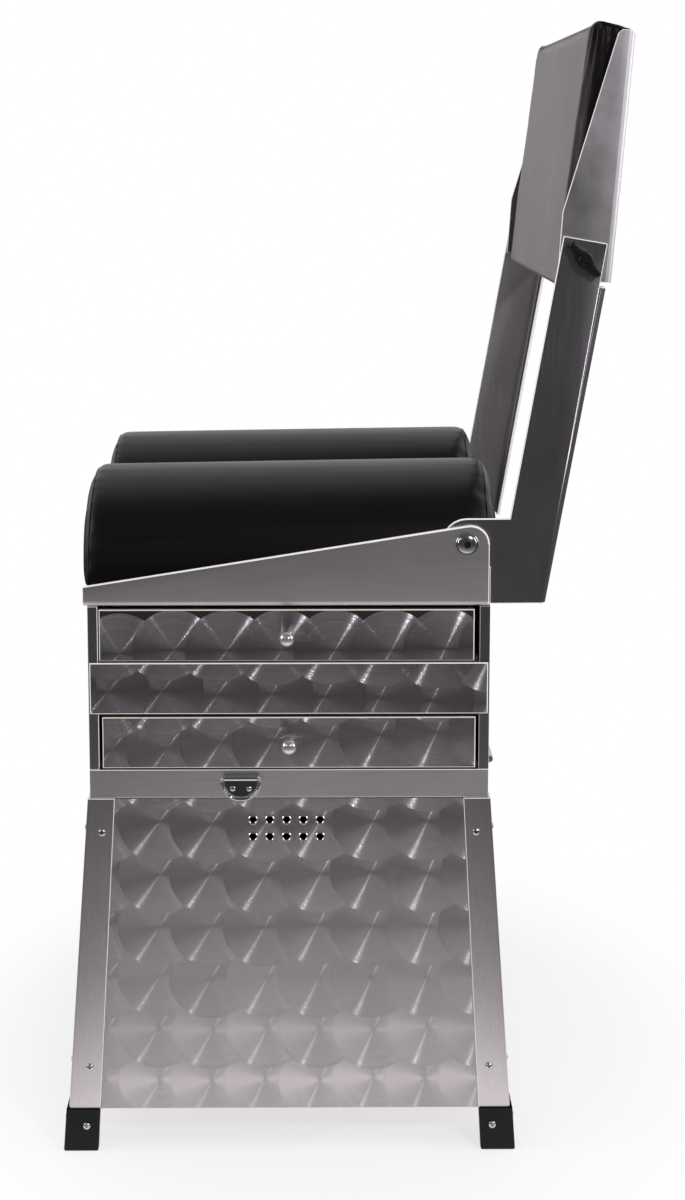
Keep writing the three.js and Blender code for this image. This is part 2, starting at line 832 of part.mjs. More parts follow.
function seat_board_solid() {
  const half_y = seat_side - 2 * seat_sheet - clearance;
  return box(
    [seat_sheet + clearance - seat_front, -half_y, seat_floor + clearance],
    [seat_rear - seat_sheet - clearance, half_y, board_top],
  );
}

// A half-round bolster: its edge rolls over at both ends, where its outline draws in.
function bolster() {
  const low = -seat_front - bolster_front_overhang;
  const high = seat_rear + bolster_rear_overhang;
  const bottom = board_top + clearance;
  const middle_y = -(bolster_gap + bolster_width) / 2;
  const stations = [
    ...bolster_end_shares.map((share) => [low + bolster_edge * share, share]),
    [(low + high) / 2, 1 + bolster_crown_share],
    ...bolster_end_shares.map((share) => [high - bolster_edge * share, share]).reverse(),
  ];
  const rings = stations.map(([x, share]) => {
    const drawn_in = bolster_edge * (1 - Math.sqrt(Math.max(0, 1 - (1 - share) ** 2)));
    const radius = bolster_width / 2 - drawn_in;
    const top = bolster_height - drawn_in + Math.max(0, share - 1) * bolster_height;
    const shoulder = top - radius;
    return [
      ...arc([0, 0], 1, 180, 0, 18).map(([a, b]) =>
        [x, middle_y + radius * a, bottom + shoulder + radius * b]),
      [x, middle_y + radius - bolster_foot_inset, bottom],
      [x, middle_y, bottom],
      [x, middle_y - radius + bolster_foot_inset, bottom],
    ];
  });
  return loft(rings, [1, 2]);
}

function ring_solid(outer, inner, sides, bore_sides, low, high) {
  const [x, , z] = pivot;
  return cut(
    rod(outer, y_axis, [x, 0, z], low, high, sides),
    rod(inner, y_axis, [x, 0, z], low - overrun, high + overrun, bore_sides),
  );
}

function block_assembly() {
  const washer_low = -(arm_outer - arm_sheet - clearance);
  const washer_high = washer_low + pivot_washer_height;
  const washer = ring_solid(pivot_washer_radius, pivot_bolt.hole, 16, 16, washer_low, washer_high);
  const nut_low = washer_high + clearance;
  const nut = ring_solid(pivot_nut_radius, pivot_bolt.hole, 6, 16, nut_low, nut_low + pivot_nut_height);
  const bolt = fastener(pivot_bolt, pivot_places[0], clearance);
  return group(
    mesh('hinge_block_leaf', hinge_leaf(true, block_hinge_places), plain_aluminium),
    mesh('block_bottom_board', board(block_bottom, bottom_board), plywood_brown),
    mesh('block_lower_shelf', board(shelf_bottoms[0], shelf_board), plywood_brown),
    mesh('block_upper_shelf', board(shelf_bottoms[1], shelf_board), plywood_brown),
    mesh('block_front_panel', front_panel(), spotted_aluminium),
    mesh('block_back_panel', back_panel(), spotted_aluminium),
    mesh('block_right_panel', box([-board_half_x, bay_half_y, block_bottom],
      [board_half_x, block_half_y, block_top]), spotted_aluminium),
    mesh('block_left_panel', fixed_left_panel(), spotted_aluminium),
    side_drawer('lower_drawer', 0, 0),
    front_drawer(),
    side_drawer('upper_drawer', 2, upper_drawer_shift),
    mesh('seat_tray', seat_tray(), plain_aluminium),
    mesh('seat_board', seat_board_solid(), plywood_brown),
    ...left_and_right('bolster', bolster(), black_vinyl),
    ...left_and_right('pivot_bolt', bolt, bright_steel),
    ...left_and_right('pivot_washer', washer, bright_steel),
    ...left_and_right('pivot_nut', nut, bright_steel),
  );
}

// Backrest arms: the pivot is the origin

const lean = radians(arm_lean);
const arm_bottom = arm_bottom_lift - pivot_above_seat;
const along_arm = new THREE.Vector3(Math.sin(lean), 0, Math.cos(lean));
const across_arm = new THREE.Vector3(Math.cos(lean), 0, -Math.sin(lean));
const arm_line = (inset, z) => arm_rear_reach - inset / Math.cos(lean) + (z - arm_bottom) * Math.tan(lean);
const arm_stop = pivot_from_rear + arm_stop_gap;

function arm_web_outline() {
  const front_top = [arm_line(arm_width, arm_height), arm_height];
  const top_width = arm_width - arm_bend;
  return [
    [arm_stop, arm_bottom],
    [arm_line(arm_bend, arm_bottom), arm_bottom],
    [front_top[0] + top_width * Math.cos(lean), front_top[1] - top_width * Math.sin(lean)],
    front_top,
    [arm_line(arm_width, arm_foot_radius), arm_foot_radius],
    ...arc([0, 0], arm_foot_radius, 90, 270, 12),
    [arm_stop, -arm_foot_radius],
  ];
}

// The rear edge turns inwards in a round bend and ends in a flange.
function arm_flange() {
  const inner = arm_bend - arm_sheet;
  const section = [
    [-arm_sheet, 0],
    ...arc([0, arm_bend], arm_bend, -90, 0, 5),
    [arm_bend, arm_flange_depth],
    [inner, arm_flange_depth],
    ...arc([0, arm_bend], inner, 0, -90, 5),
    [-arm_sheet, arm_sheet],
  ];
  const rise = (arm_height - arm_flange_end - arm_bottom) / Math.cos(lean);
  const flange = prism(section, -2 * overrun, rise, [across_arm, y_axis, along_arm]);
  return flange.translate(arm_line(arm_bend, arm_bottom), 0, arm_bottom);
}

const knob_above_pivot = arm_height - knob_below_arm_top;
const knob_centre = [arm_line(knob_inset, knob_above_pivot), 0, knob_above_pivot];

function arm() {
  const web = side_plate(arm_web_outline(), 0, arm_sheet);
  const stop = box([arm_stop, 0, arm_bottom], [arm_stop + arm_sheet, arm_stop_depth, -arm_foot_radius]);
  const reach = 2 * arm_width;
  const below = box([-reach, -overrun, arm_bottom - reach],
    [reach, arm_flange_depth + overrun, arm_bottom]);
  const hole = (radius, centre, sides) => rod(radius, y_axis, centre, -overrun, arm_sheet + overrun, sides);
  return cut(
    join(web, arm_flange(), stop),
    below,
    hole(pivot_bolt.hole, [0, 0, 0], 24),
    hole(clamp_bolt.hole, knob_centre, 16),
  ).translate(0, -arm_outer, 0);
}

// Back pad: the rear foot of its shell is the origin, and it leans back

const shell_outer = arm_outer - arm_sheet - shell_side_play;
const knob_local = [-knob_from_back, 0, knob_from_foot];

function shell_outline() {
  const corner = shell_corner;
  return [
    [-shell_foot_depth, 0],
    [0, 0],
    [0, shell_height - corner],
    [-corner, shell_height],
    [corner - shell_top_depth, shell_height],
    [-shell_top_depth, shell_height - corner],
    [-shell_side_depth, shell_kink_height],
  ];
}

function shell() {
  const reach = shell_side_depth + overrun;
  const inner = shell_outer - shell_sheet;
  const bend_y = shell_outer - shell_bend;
  const inner_bend = shell_bend - shell_sheet;
  const section = [
    [-reach, -shell_outer],
    ...arc([-shell_bend, -bend_y], shell_bend, -90, 0, 4),
    ...arc([-shell_bend, bend_y], shell_bend, 0, 90, 4),
    [-reach, shell_outer],
    [-reach, inner],
    ...arc([-shell_bend, bend_y], inner_bend, 90, 0, 4),
    ...arc([-shell_bend, -bend_y], inner_bend, 0, -90, 4),
    [-reach, -inner],
  ];
  const folded = prism(section, 0, shell_height, [x_axis, y_axis, z_axis]);
  const past_side = shell_outer + overrun;
  const trimmed = common(folded, side_plate(shell_outline(), -past_side, past_side));
  const hole = rod(clamp_bolt.hole, y_axis, knob_local, -past_side, past_side, 16);
  return cut(trimmed, hole);
}

// The pad is flat at the back, crowned in front, and draws in at its rounded edges.
function pad() {
  const back = -(shell_sheet + clearance);
  const rings = pad_level_shares.map((share, level) => {
    const z = clearance + share * (pad_height - clearance);
    const inset = pad_edge * pad_inset_shares[level];
    const half = shell_outer - shell_sheet - pad_side_room - inset * pad_side_draw_share;
    const depth = pad_foot_depth + (pad_top_depth - pad_foot_depth) * share - inset;
    const corner = Math.min(pad_corner, depth * pad_corner_share);
    const face_half = half - corner;
    const face = pad_face_shares.map((share_y) =>
      [-(depth + pad_crown * (1 - share_y ** 2)), -share_y * face_half]);
    return [
      [back, -half],
      [back, 0],
      [back, half],
      ...arc([corner - depth, face_half], corner, 90, 180, 5),
      ...face,
      ...arc([corner - depth, -face_half], corner, 180, 270, 5),
    ].map(([x, y]) => [x, y, z]);
  });
  return loft(rings, [0, 1]);
}

// A wing knob: two rounded wings on a boss, threaded on the clamp bolt.
function wing_knob() {
  const side = wing_width / 2;
  const tip = side * wing_tip_share;
  const reach = wing_length / 2 - tip;
  const sweep = side * wing_sweep_share;
  const waist = wing_boss_radius * wing_waist_share;
  const outline = [
    ...arc([reach, sweep], tip, -80, 90, 5),
    [wing_boss_radius, side],
    [-waist, side],
    ...arc([-reach, -sweep], tip, 100, 270, 5),
    [-wing_boss_radius, -side],
    [waist, -side],
  ];
  const high = -(arm_outer + clearance);
  const wing_high = high - (wing_boss_height - wing_thickness) / 2;
  const wings = side_plate(outline, wing_high - wing_thickness, wing_high);
  wings.applyMatrix4(new THREE.Matrix4().makeRotationY(radians(-wing_angle)));
  const boss = rod(wing_boss_radius, y_axis, [0, 0, 0], high - wing_boss_height, high, 16);
  const bore = rod(clamp_bolt.hole, y_axis, [0, 0, 0],
    high - wing_boss_height + wing_end_wall, high + overrun, 16);
  return cut(join(wings, boss), bore);
}

// A flat-headed bolt from inside the shell, out through the arm into the knob.
function clamp_bolt_solid() {
  const inner = shell_outer - shell_sheet;
  const head = rod(clamp_bolt.head, y_axis, [0, 0, 0],
    clearance - inner, clearance + clamp_bolt.rise - inner, clamp_bolt.sides);
  const end = arm_outer + wing_boss_height - wing_end_wall;
  const shank = rod(clamp_bolt.shank, y_axis, [0, 0, 0],
    -end, clearance + clamp_bolt.rise / 2 - inner, clamp_bolt.sides);
  return join(head, shank);
}

function backrest_assembly() {
  const knobs = group(
    ...left_and_right('wing_knob', wing_knob(), black_plastic),
    ...left_and_right('clamp_bolt', clamp_bolt_solid(), bright_steel),
  );
  knobs.position.set(...knob_centre);
  const back = group(
    mesh('backrest_shell', shell(), plain_aluminium),
    mesh('backrest_pad', pad(), black_vinyl),
  );
  back.rotation.y = radians(shell_lean);
  const seat_of_knob = new THREE.Vector3(...knob_local).applyEuler(back.rotation);
  back.position.set(...knob_centre).sub(seat_of_knob);
  const holder = group(
    ...left_and_right('arm', arm(), plain_aluminium),
    knobs,
    back,
  );
  holder.position.set(...pivot);
  return holder;
}

const seat_box = group(base_assembly(), block_assembly(), backrest_assembly());

// The origin stands on the floor, under the middle of the whole box from front to back.
const bounds = new THREE.Box3().setFromObject(seat_box, true);
seat_box.position.x = -(bounds.min.x + bounds.max.x) / 2;

export default seat_box;
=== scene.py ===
from math import atan2, cos, pi, radians, sin

import bmesh
import bpy
from mathutils import Matrix, Vector


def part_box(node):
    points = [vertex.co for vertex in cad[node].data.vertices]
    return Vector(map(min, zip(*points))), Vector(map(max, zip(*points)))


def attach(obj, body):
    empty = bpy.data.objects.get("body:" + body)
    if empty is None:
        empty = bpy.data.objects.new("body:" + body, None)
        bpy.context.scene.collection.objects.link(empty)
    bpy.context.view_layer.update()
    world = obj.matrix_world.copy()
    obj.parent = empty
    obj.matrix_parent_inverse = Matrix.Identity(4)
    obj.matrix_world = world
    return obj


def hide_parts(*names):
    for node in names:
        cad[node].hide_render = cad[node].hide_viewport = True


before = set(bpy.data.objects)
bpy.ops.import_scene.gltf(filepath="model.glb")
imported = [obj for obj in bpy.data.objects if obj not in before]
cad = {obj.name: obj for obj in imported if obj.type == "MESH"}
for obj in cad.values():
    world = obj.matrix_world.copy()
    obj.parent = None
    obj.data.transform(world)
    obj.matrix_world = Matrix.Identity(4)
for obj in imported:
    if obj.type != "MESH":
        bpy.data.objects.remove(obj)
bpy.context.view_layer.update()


# The floor board of the lower box: plain brown plywood that rests between the panels.
# Its wood is used again on every board and on the raw edges of the faced panels.
def feed(node, inputs):
    """Links or fills a shader node's inputs."""
    for name, value in inputs.items():
        if isinstance(value, bpy.types.NodeSocket):
            node.id_data.links.new(value, node.inputs[name])
        else:
            node.inputs[name].default_value = value


def added(tree, kind, inputs=None, **settings):
    """A new shader node with its options set and its inputs fed."""
    node = tree.nodes.new("ShaderNode" + kind)
    for name, value in settings.items():
        setattr(node, name, value)
    feed(node, inputs or {})
    return node


def wire(kind, inputs, **settings):
    """A new shader node, fed by at least one node that is there already."""
    behind = next(value for value in inputs.values() if isinstance(value, bpy.types.NodeSocket))
    return added(behind.id_data, kind, inputs, **settings)


def sum_up(operation, *values):
    """A math node's result."""
    return wire("Math", dict(enumerate(values)), operation=operation).outputs[0]


def scaled(value, gain, shift):
    """A value times one number or value, plus another."""
    return sum_up("MULTIPLY_ADD", value, gain, shift)


def ramped(value, start, end, first, last, step="LINEAR"):
    """A value that goes from first to last while another goes from start to end."""
    node = wire("MapRange", {"Value": value, "From Min": start, "From Max": end,
                             "To Min": first, "To Max": last}, interpolation_type=step)
    return node.outputs["Result"]


def new_finish(name):
    """An empty material with its surface shader, and the place of each point on the piece."""
    material = bpy.data.materials.new(name)
    material.use_nodes = True
    tree = material.node_tree
    tree.nodes.clear()
    surface = added(tree, "BsdfPrincipled")
    wire("OutputMaterial", {0: surface.outputs[0]})
    return material, surface, added(tree, "TexCoord").outputs["Object"]


def grained(place, scale, stretch=(1.0, 1.0, 1.0), detail=4.0):
    """Noise, drawn out into fine parallel lines where it is stretched."""
    drawn = wire("Mapping", {"Vector": place, "Scale": stretch})
    noise = wire("TexNoise", {"Vector": drawn.outputs[0], "Scale": scale, "Detail": detail})
    return noise.outputs["Fac"]


def blend_colours(share, first, second):
    mixed = wire("Mix", {"Factor": share, "A": (*first, 1), "B": (*second, 1)}, data_type="RGBA")
    return mixed.outputs["Result"]


def relief(surface, height, depth, strength):
    bump = wire("Bump", {"Height": height, "Distance": depth, "Strength": strength})
    feed(surface, {"Normal": bump.outputs[0]})


def plywood_finish(name, dark, light, stretch):
    material, surface, place = new_finish(name)
    lines = grained(place, 40.0, stretch, 6.0)
    cloud = grained(place, 9.0)
    share = scaled(cloud, 0.5, sum_up("MULTIPLY", lines, 0.6))
    feed(surface, {"Base Color": blend_colours(share, dark, light), "Roughness": 0.55})
    relief(surface, lines, 0.0004, 0.35)
    return material


plywood = plywood_finish("plywood", (0.10, 0.05, 0.032), (0.34, 0.205, 0.13), (0.6, 9.0, 9.0))
plywood_edge = plywood_finish("plywood_edge", (0.05, 0.024, 0.015), (0.26, 0.14, 0.075), (0.8, 0.8, 26.0))


def painted(node, finish):
    """A CAD node that keeps its shape and gets its finish."""
    mesh = cad[node].data
    mesh.materials.clear()
    mesh.materials.append(finish)


painted("base_floor_board", plywood)


# The four flared panels of the lower box: plywood faced with engine-turned aluminium, whose
# overlapping spots are rolled on in rows. Each spot's round scratches throw light out of its
# middle as a cross of thin lines. The two side panels have ten vent holes with pressed eyelets.
spot_pitch = (0.0398, 0.0388)
spot_reach = 0.775
spot_wander = 0.07
bare_above = 99.0


def metal_tint(grade):
    """Aluminium's colour at one strength: a cool grey with a trace of violet."""
    return wire("CombineColor", {
        "Red": sum_up("MULTIPLY", grade, 0.985),
        "Green": sum_up("MULTIPLY", grade, 0.93),
        "Blue": grade,
    }).outputs[0]


def turned_with_piece(surface, way):
    """A direction given on the piece, as it points in the room."""
    return added(surface.id_data, "VectorTransform", {"Vector": way}, vector_type="VECTOR",
                 convert_from="OBJECT", convert_to="WORLD").outputs[0]


def spotted_sheet(name, across, origin, turn=0.0, top_row=bare_above, tone=1.0, rightwards=True,
                  dull=0.21, ripple=1.0):
    """Engine-turned aluminium on the plane of one axis and Z, with one spot on the origin."""
    material, surface, place = new_finish(name)

    def vectors(operation, *values):
        node = wire("VectorMath", dict(enumerate(values)), operation=operation)
        return node.outputs["Value" if operation == "LENGTH" else "Vector"]

    def picked(share, first, second):
        return wire("Mix", {"Factor": share, "A": first, "B": second},
                    data_type="VECTOR").outputs["Result"]

    apart = wire("SeparateXYZ", {"Vector": place})
    flat = wire("CombineXYZ", {"X": apart.outputs[across], "Y": apart.outputs["Z"]})
    lattice = wire("Mapping", {
        "Vector": flat.outputs[0],
        "Location": (origin[0], origin[1], 0.0),
        "Rotation": (0.0, 0.0, turn),
        "Scale": (spot_pitch[0], spot_pitch[1], 1.0),
    }, vector_type="TEXTURE").outputs[0]

    # The four spots round each point, in the order they were ground: a later one lies on top.
    cell = vectors("FLOOR", lattice)
    chosen = chosen_cell = covered = None
    order = ((0, 0), (1, 0), (0, 1), (1, 1)) if rightwards else ((1, 0), (0, 0), (1, 1), (0, 1))
    for step in order:
        corner = vectors("ADD", cell, (step[0], step[1], 0.0))
        chance = wire("TexWhiteNoise", {"Vector": corner}, noise_dimensions="3D")
        drift = vectors("SUBTRACT", chance.outputs["Color"], (0.5, 0.5, 0.5))
        drift = vectors("MULTIPLY", drift, (spot_wander, spot_wander, 0.0))
        local = vectors("SUBTRACT", vectors("SUBTRACT", lattice, corner), drift)
        local = vectors("MULTIPLY", local, (1.0, 1.0, 0.0))
        inside = sum_up("LESS_THAN", vectors("LENGTH", local), spot_reach)
        row = wire("SeparateXYZ", {"Vector": corner}).outputs["Y"]
        inside = sum_up("MULTIPLY", inside, sum_up("LESS_THAN", row, top_row + 0.5))
        if chosen is None:
            chosen, chosen_cell, covered = local, corner, inside
        else:
            chosen = picked(inside, chosen, local)
            chosen_cell = picked(inside, chosen_cell, corner)
            covered = sum_up("MAXIMUM", covered, inside)
    chosen = picked(covered, (0.0, 0.5, 0.0), chosen)

    # Its colour and dullness: rings that come and go, a rubbed middle and a sharp outer rim.
    distance = vectors("LENGTH", chosen)
    lot = wire("TexWhiteNoise", {"Vector": chosen_cell}, noise_dimensions="3D").outputs["Value"]
    round_way = scaled(distance, 34.0, sum_up("MULTIPLY", lot, 90.0))
    rings = wire("TexNoise", {
        "W": round_way, "Scale": 1.0, "Detail": 5.0, "Roughness": 0.75,
    }, noise_dimensions="1D").outputs["Fac"]
    scratch = wire("TexNoise", {
        "W": round_way, "Scale": 15.0, "Detail": 1.0,
    }, noise_dimensions="1D").outputs["Fac"]
    rim = ramped(distance, spot_reach - 0.07, spot_reach, 0.0, 1.0)
    middle = ramped(distance, 0.0, 0.09, 1.0, 0.0)
    grade = scaled(rings, 0.04, sum_up("MULTIPLY", lot, 0.06))
    grade = sum_up("SUBTRACT", grade, sum_up("MULTIPLY", rim, 0.02))
    grade = sum_up("SUBTRACT", grade, sum_up("MULTIPLY", middle, 0.08))
    grade = sum_up("MULTIPLY", sum_up("ADD", grade, 0.54 * tone), covered)
    grade = sum_up("ADD", grade, scaled(covered, -0.16, 0.16))
    blur = scaled(rings, 0.02, dull)
    feed(surface, {"Base Color": metal_tint(grade), "Metallic": 1.0, "Anisotropic": 1.0,
                   "Roughness": scaled(rim, 0.02, blur)})

    # Light spreads over the round scratches, outwards from the spot's middle.
    unit = wire("VectorRotate", {
        "Vector": vectors("NORMALIZE", chosen), "Axis": (0.0, 0.0, 1.0), "Angle": turn,
    }, rotation_type="AXIS_ANGLE").outputs[0]
    spoke = wire("SeparateXYZ", {"Vector": unit})
    outward = wire("CombineXYZ", {across: spoke.outputs["X"], "Z": spoke.outputs["Y"]}).outputs[0]
    outward = turned_with_piece(surface, outward)
    deep = ramped(distance, 0.0, spot_reach, ripple, 2.4 * ripple)
    lean = sum_up("MULTIPLY", sum_up("SUBTRACT", scratch, 0.5), deep)
    lean = sum_up("MULTIPLY", lean, covered)
    plain = added(surface.id_data, "NewGeometry").outputs["Normal"]
    pushed = wire("VectorMath", {0: outward, "Scale": lean}, operation="SCALE").outputs["Vector"]
    feed(surface, {"Tangent": outward,
                   "Normal": vectors("NORMALIZE", vectors("ADD", plain, pushed))})
    return material


def highlit_cut_metal(name):
    """The edge that a shear leaves on aluminium: finely torn and matte, and painted near white as a painted
    highlight where it catches the light.
    """
    material, surface, place = new_finish(name)
    specks = grained(place, 300.0)
    feed(surface, {"Base Color": blend_colours(specks, (0.86, 0.84, 0.86), (1.0, 0.98, 1.0)),
                   "Roughness": scaled(specks, 0.2, 0.35), "Metallic": 0.1})
    return material


# The cut edges are painted near white: a painted highlight, partly the real pale torn edge.
highlit_cut_edge = highlit_cut_metal("highlit_cut_edge")


def level(node, height, slack=0.0006):
    """The lowest and highest corner of what a CAD node has at one height."""
    near = [v.co for v in cad[node].data.vertices if abs(v.co.z - height) < slack]
    return (Vector([min(c[k] for c in near) for k in range(3)]),
            Vector([max(c[k] for c in near) for k in range(3)]))


def set_up(name, data):
    """A new object in the scene."""
    made = bpy.data.objects.new(name, data)
    bpy.context.scene.collection.objects.link(made)
    return made


def finished(form, name, *finishes):
    """A mesh in the making as an object with its finishes."""
    mesh = bpy.data.meshes.new(name)
    form.to_mesh(mesh)
    form.free()
    for finish in finishes:
        mesh.materials.append(finish)
    return set_up(name, mesh)


def piece(form, name, body, slot, *finishes, smooth=radians(35)):
    """The finished mesh as a piece that rides on its body."""
    made = finished(form, name, *finishes)
    made.data.shade_smooth()
    made.data.set_sharp_from_angle(angle=smooth)
    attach(made, body)
    return made


def grown_corners(form, faces):
    """Extrudes faces, and gives the new corners."""
    grown = bmesh.ops.extrude_face_region(form, geom=faces)["geom"]
    return [part for part in grown if isinstance(part, bmesh.types.BMVert)]


def rounded(form, edges, width, steps, finish=-1, clamp=True):
    """Rounds edges of a mesh in the making, or chamfers them in one step."""
    bmesh.ops.bevel(form, geom=edges, offset=width, segments=steps, profile=0.5, affect="EDGES",
                    material=finish, clamp_overlap=clamp)


def turned_profile(points, steps, closed=False):
    """A round piece on the Z axis, spun from a row of (radius, height)."""
    form = bmesh.new()
    chain = [form.verts.new((radius, 0, height)) for radius, height in points]
    for first, second in zip(chain, chain[1:]):
        form.edges.new((first, second))
    if closed:
        form.edges.new((chain[-1], chain[0]))
    bmesh.ops.spin(form, geom=form.verts[:] + form.edges[:], cent=(0, 0, 0), axis=(0, 0, 1),
                   angle=2 * pi, steps=steps, use_merge=True)
    bmesh.ops.remove_doubles(form, verts=form.verts, dist=1e-7)
    bmesh.ops.recalc_face_normals(form, faces=form.faces)
    return form


def stand_on(point, normal, twist=0.0):
    """Turns and moves what was made on the origin onto a surface."""
    return (Matrix.Translation(point) @ Vector(normal).to_track_quat("Z", "Y").to_matrix().to_4x4()
            @ Matrix.Rotation(twist, 4, "Z"))


def placed(form, matrix):
    """Turns and moves a whole mesh in the making."""
    bmesh.ops.transform(form, matrix=matrix, verts=form.verts)
    return form


def gathered_forms(forms):
    """Several small meshes as one."""
    whole = bmesh.new()
    for form in forms:
        mesh = bpy.data.meshes.new("part")
        form.to_mesh(mesh)
        form.free()
        whole.from_mesh(mesh)
        bpy.data.meshes.remove(mesh)
    return whole


def bright_metal(name, colour, dull, mirror=1.0):
    """Plated or polished metal with faint dulled patches."""
    material, surface, place = new_finish(name)
    haze = grained(place, 240.0)
    darker = [channel * 0.8 for channel in colour]
    feed(surface, {"Base Color": blend_colours(haze, darker, colour), "Metallic": mirror,
                   "Roughness": scaled(haze, dull, dull * 0.5)})
    return material


chrome = bright_metal("chrome_plate", (0.86, 0.86, 0.88), 0.07)
base_low, base_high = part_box("base_floor_board")
base_middle = (base_low + base_high) / 2
spot_row = 0.0428
side_spots = spotted_sheet("spotted_side", "X", (base_middle.x + 0.0223, spot_row + 0.0102),
                           dull=0.23, ripple=0.80)
end_spots = spotted_sheet("spotted_end", "Y", (0.006, spot_row + 0.004))
vent_radius = 0.0031
vent_shift = -0.002
vent_pitch = 0.0124
vent_heights = (0.249, 0.2364)
eyelet_bore = 0.0025
eyelet_flange = 0.0036
eyelet_rise = 0.0004
eyelet_turn = 0.0003
eyelet_depth = 0.009
hair = 0.0001
skin = 0.0006
squarely = 0.9


def flared_board(node, face_axis, face_sign, vents=()):
    """A leaning board between two levels, its outer face first, with round holes and eyelets."""
    low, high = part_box(node)
    foot, head = level(node, low.z), level(node, high.z)
    along = 1 - face_axis
    form = bmesh.new()
    corners = []
    for (near, far), ends in ((foot, (0, 1)), (head, (1, 0))):
        outer = (near if face_sign < 0 else far)[face_axis]
        for end in ends:
            point = Vector((0, 0, near.z))
            point[face_axis] = outer
            point[along] = (near, far)[end][along]
            corners.append(form.verts.new(point))
    for k in range(4):
        form.edges.new((corners[k - 1], corners[k]))
    slope = (corners[3].co[face_axis] - corners[0].co[face_axis]) / (high.z - low.z)
    out = Vector((0, 0, 0))
    out[face_axis] = face_sign
    lean = Vector((0, face_sign, -slope * face_sign)) if face_axis else out
    eyelets = []
    for x, z in vents:
        spot = Vector((x, corners[0].co.y + slope * (z - low.z), z))
        rim = bmesh.ops.create_circle(form, segments=28, radius=vent_radius)["verts"]
        for v in rim:
            v.co = spot + Vector((v.co.x, slope * v.co.y, v.co.y))
        eyelet = turned_profile([
            (eyelet_bore, -eyelet_depth), (eyelet_bore, hair), (eyelet_bore + eyelet_turn, eyelet_rise),
            (eyelet_flange - eyelet_rise, eyelet_rise), (eyelet_flange, 0.0), (vent_radius - hair, 0.0),
            (vent_radius - hair, -eyelet_depth)], 24, closed=True)
        eyelets.append(placed(eyelet, stand_on(spot, lean)))
    bmesh.ops.triangle_fill(form, edges=form.edges[:], use_beauty=True)
    bmesh.ops.recalc_face_normals(form, faces=form.faces)
    if sum((f.normal * f.calc_area() for f in form.faces), Vector()).dot(out) < 0:
        bmesh.ops.reverse_faces(form, faces=form.faces)
    thickness = (head[1] - head[0])[face_axis]
    inner = grown_corners(form, form.faces[:] + form.edges[:] + form.verts[:])
    bmesh.ops.translate(form, verts=inner, vec=-out * thickness)
    bmesh.ops.recalc_face_normals(form, faces=form.faces)
    for face in form.faces:
        face.material_index = 0 if face.normal.dot(out) > squarely else 1
    rims = [e for e in form.edges if {f.material_index for f in e.link_faces} == {0, 1}]
    rounded(form, rims, skin, 2)
    return form, eyelets


# A board's face is dead flat, so its shading isn't blended into its rounded rims.
board_smooth = radians(8)
vents = [(base_middle.x + vent_shift + (k - 2) * vent_pitch, z) for z in vent_heights for k in range(5)]
panels = (("left", 1, -1, vents, side_spots), ("right", 1, 1, vents, side_spots),
          ("front", 0, -1, (), end_spots), ("back", 0, 1, (), end_spots))
for name, axis, out, holes, spots in panels:
    form, eyelets = flared_board(f"base_{name}_panel", axis, out, holes)
    board = piece(form, f"{name}_panel", "base", "spotted_panel", spots, plywood_edge, smooth=board_smooth)
    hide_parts(f"base_{name}_panel")
    if eyelets:
        piece(gathered_forms(eyelets), f"{name}_eyelets", "base", "bright_steel", chrome)


# The four corner angles: folded aluminium strip, brushed lengthwise, a little wider towards
# the floor. Each holds two panels with four domed cross-head screws.
def brushed_metal(name, grain, across, tone=0.56, dull=0.34, fleck=0.10):
    """Aluminium sheet brushed along one axis; across is the direction over the scratches."""
    material, surface, place = new_finish(name)
    stretch = tuple(1.0 if axis == grain else 38.0 for axis in "XYZ")
    lines = grained(place, 26.0, stretch, 8.0)
    cloud = grained(place, 14.0)
    grade = scaled(lines, fleck * 1.8, tone - fleck * 1.4)
    grade = scaled(cloud, fleck, grade)
    rough = scaled(lines, 0.12, dull - 0.11)
    feed(surface, {"Base Color": metal_tint(grade), "Metallic": 1.0, "Anisotropic": 0.7,
                   "Roughness": scaled(cloud, 0.10, rough),
                   "Tangent": turned_with_piece(surface, across)})
    relief(surface, lines, 0.00005, 0.25)
    return material


upright_brushed = brushed_metal("upright_brushed", "Z", (1.0, 1.0, 0.0), 0.72)
zinc = bright_metal("zinc_plate", (0.72, 0.71, 0.70), 0.26)
recess_shade = bright_metal("recess_shade", (0.10, 0.10, 0.10), 0.6)

strip_sheet = 0.0015
fold_radius = 0.0016
screw_heights = (0.2405, 0.0634)
screw_inset_share = 0.6
screw_head = (0.0029, 0.0017, 0.0004)
flare = 0.0157 / 0.235
recess_share = 0.75
recess_lip = 0.03
cross_waist = 0.15
cross_reach = 0.45
hexagon_reach = 0.40
twist_step = 2.4
edge_radius = 0.0004


def arc(middle, radius, start, end, steps, squash=1.0):
    """Points on an arc between two angles in degrees."""
    turns = [radians(start + (end - start) * k / steps) for k in range(steps + 1)]
    return [(middle[0] + radius * cos(a), middle[1] + radius * squash * sin(a)) for a in turns]


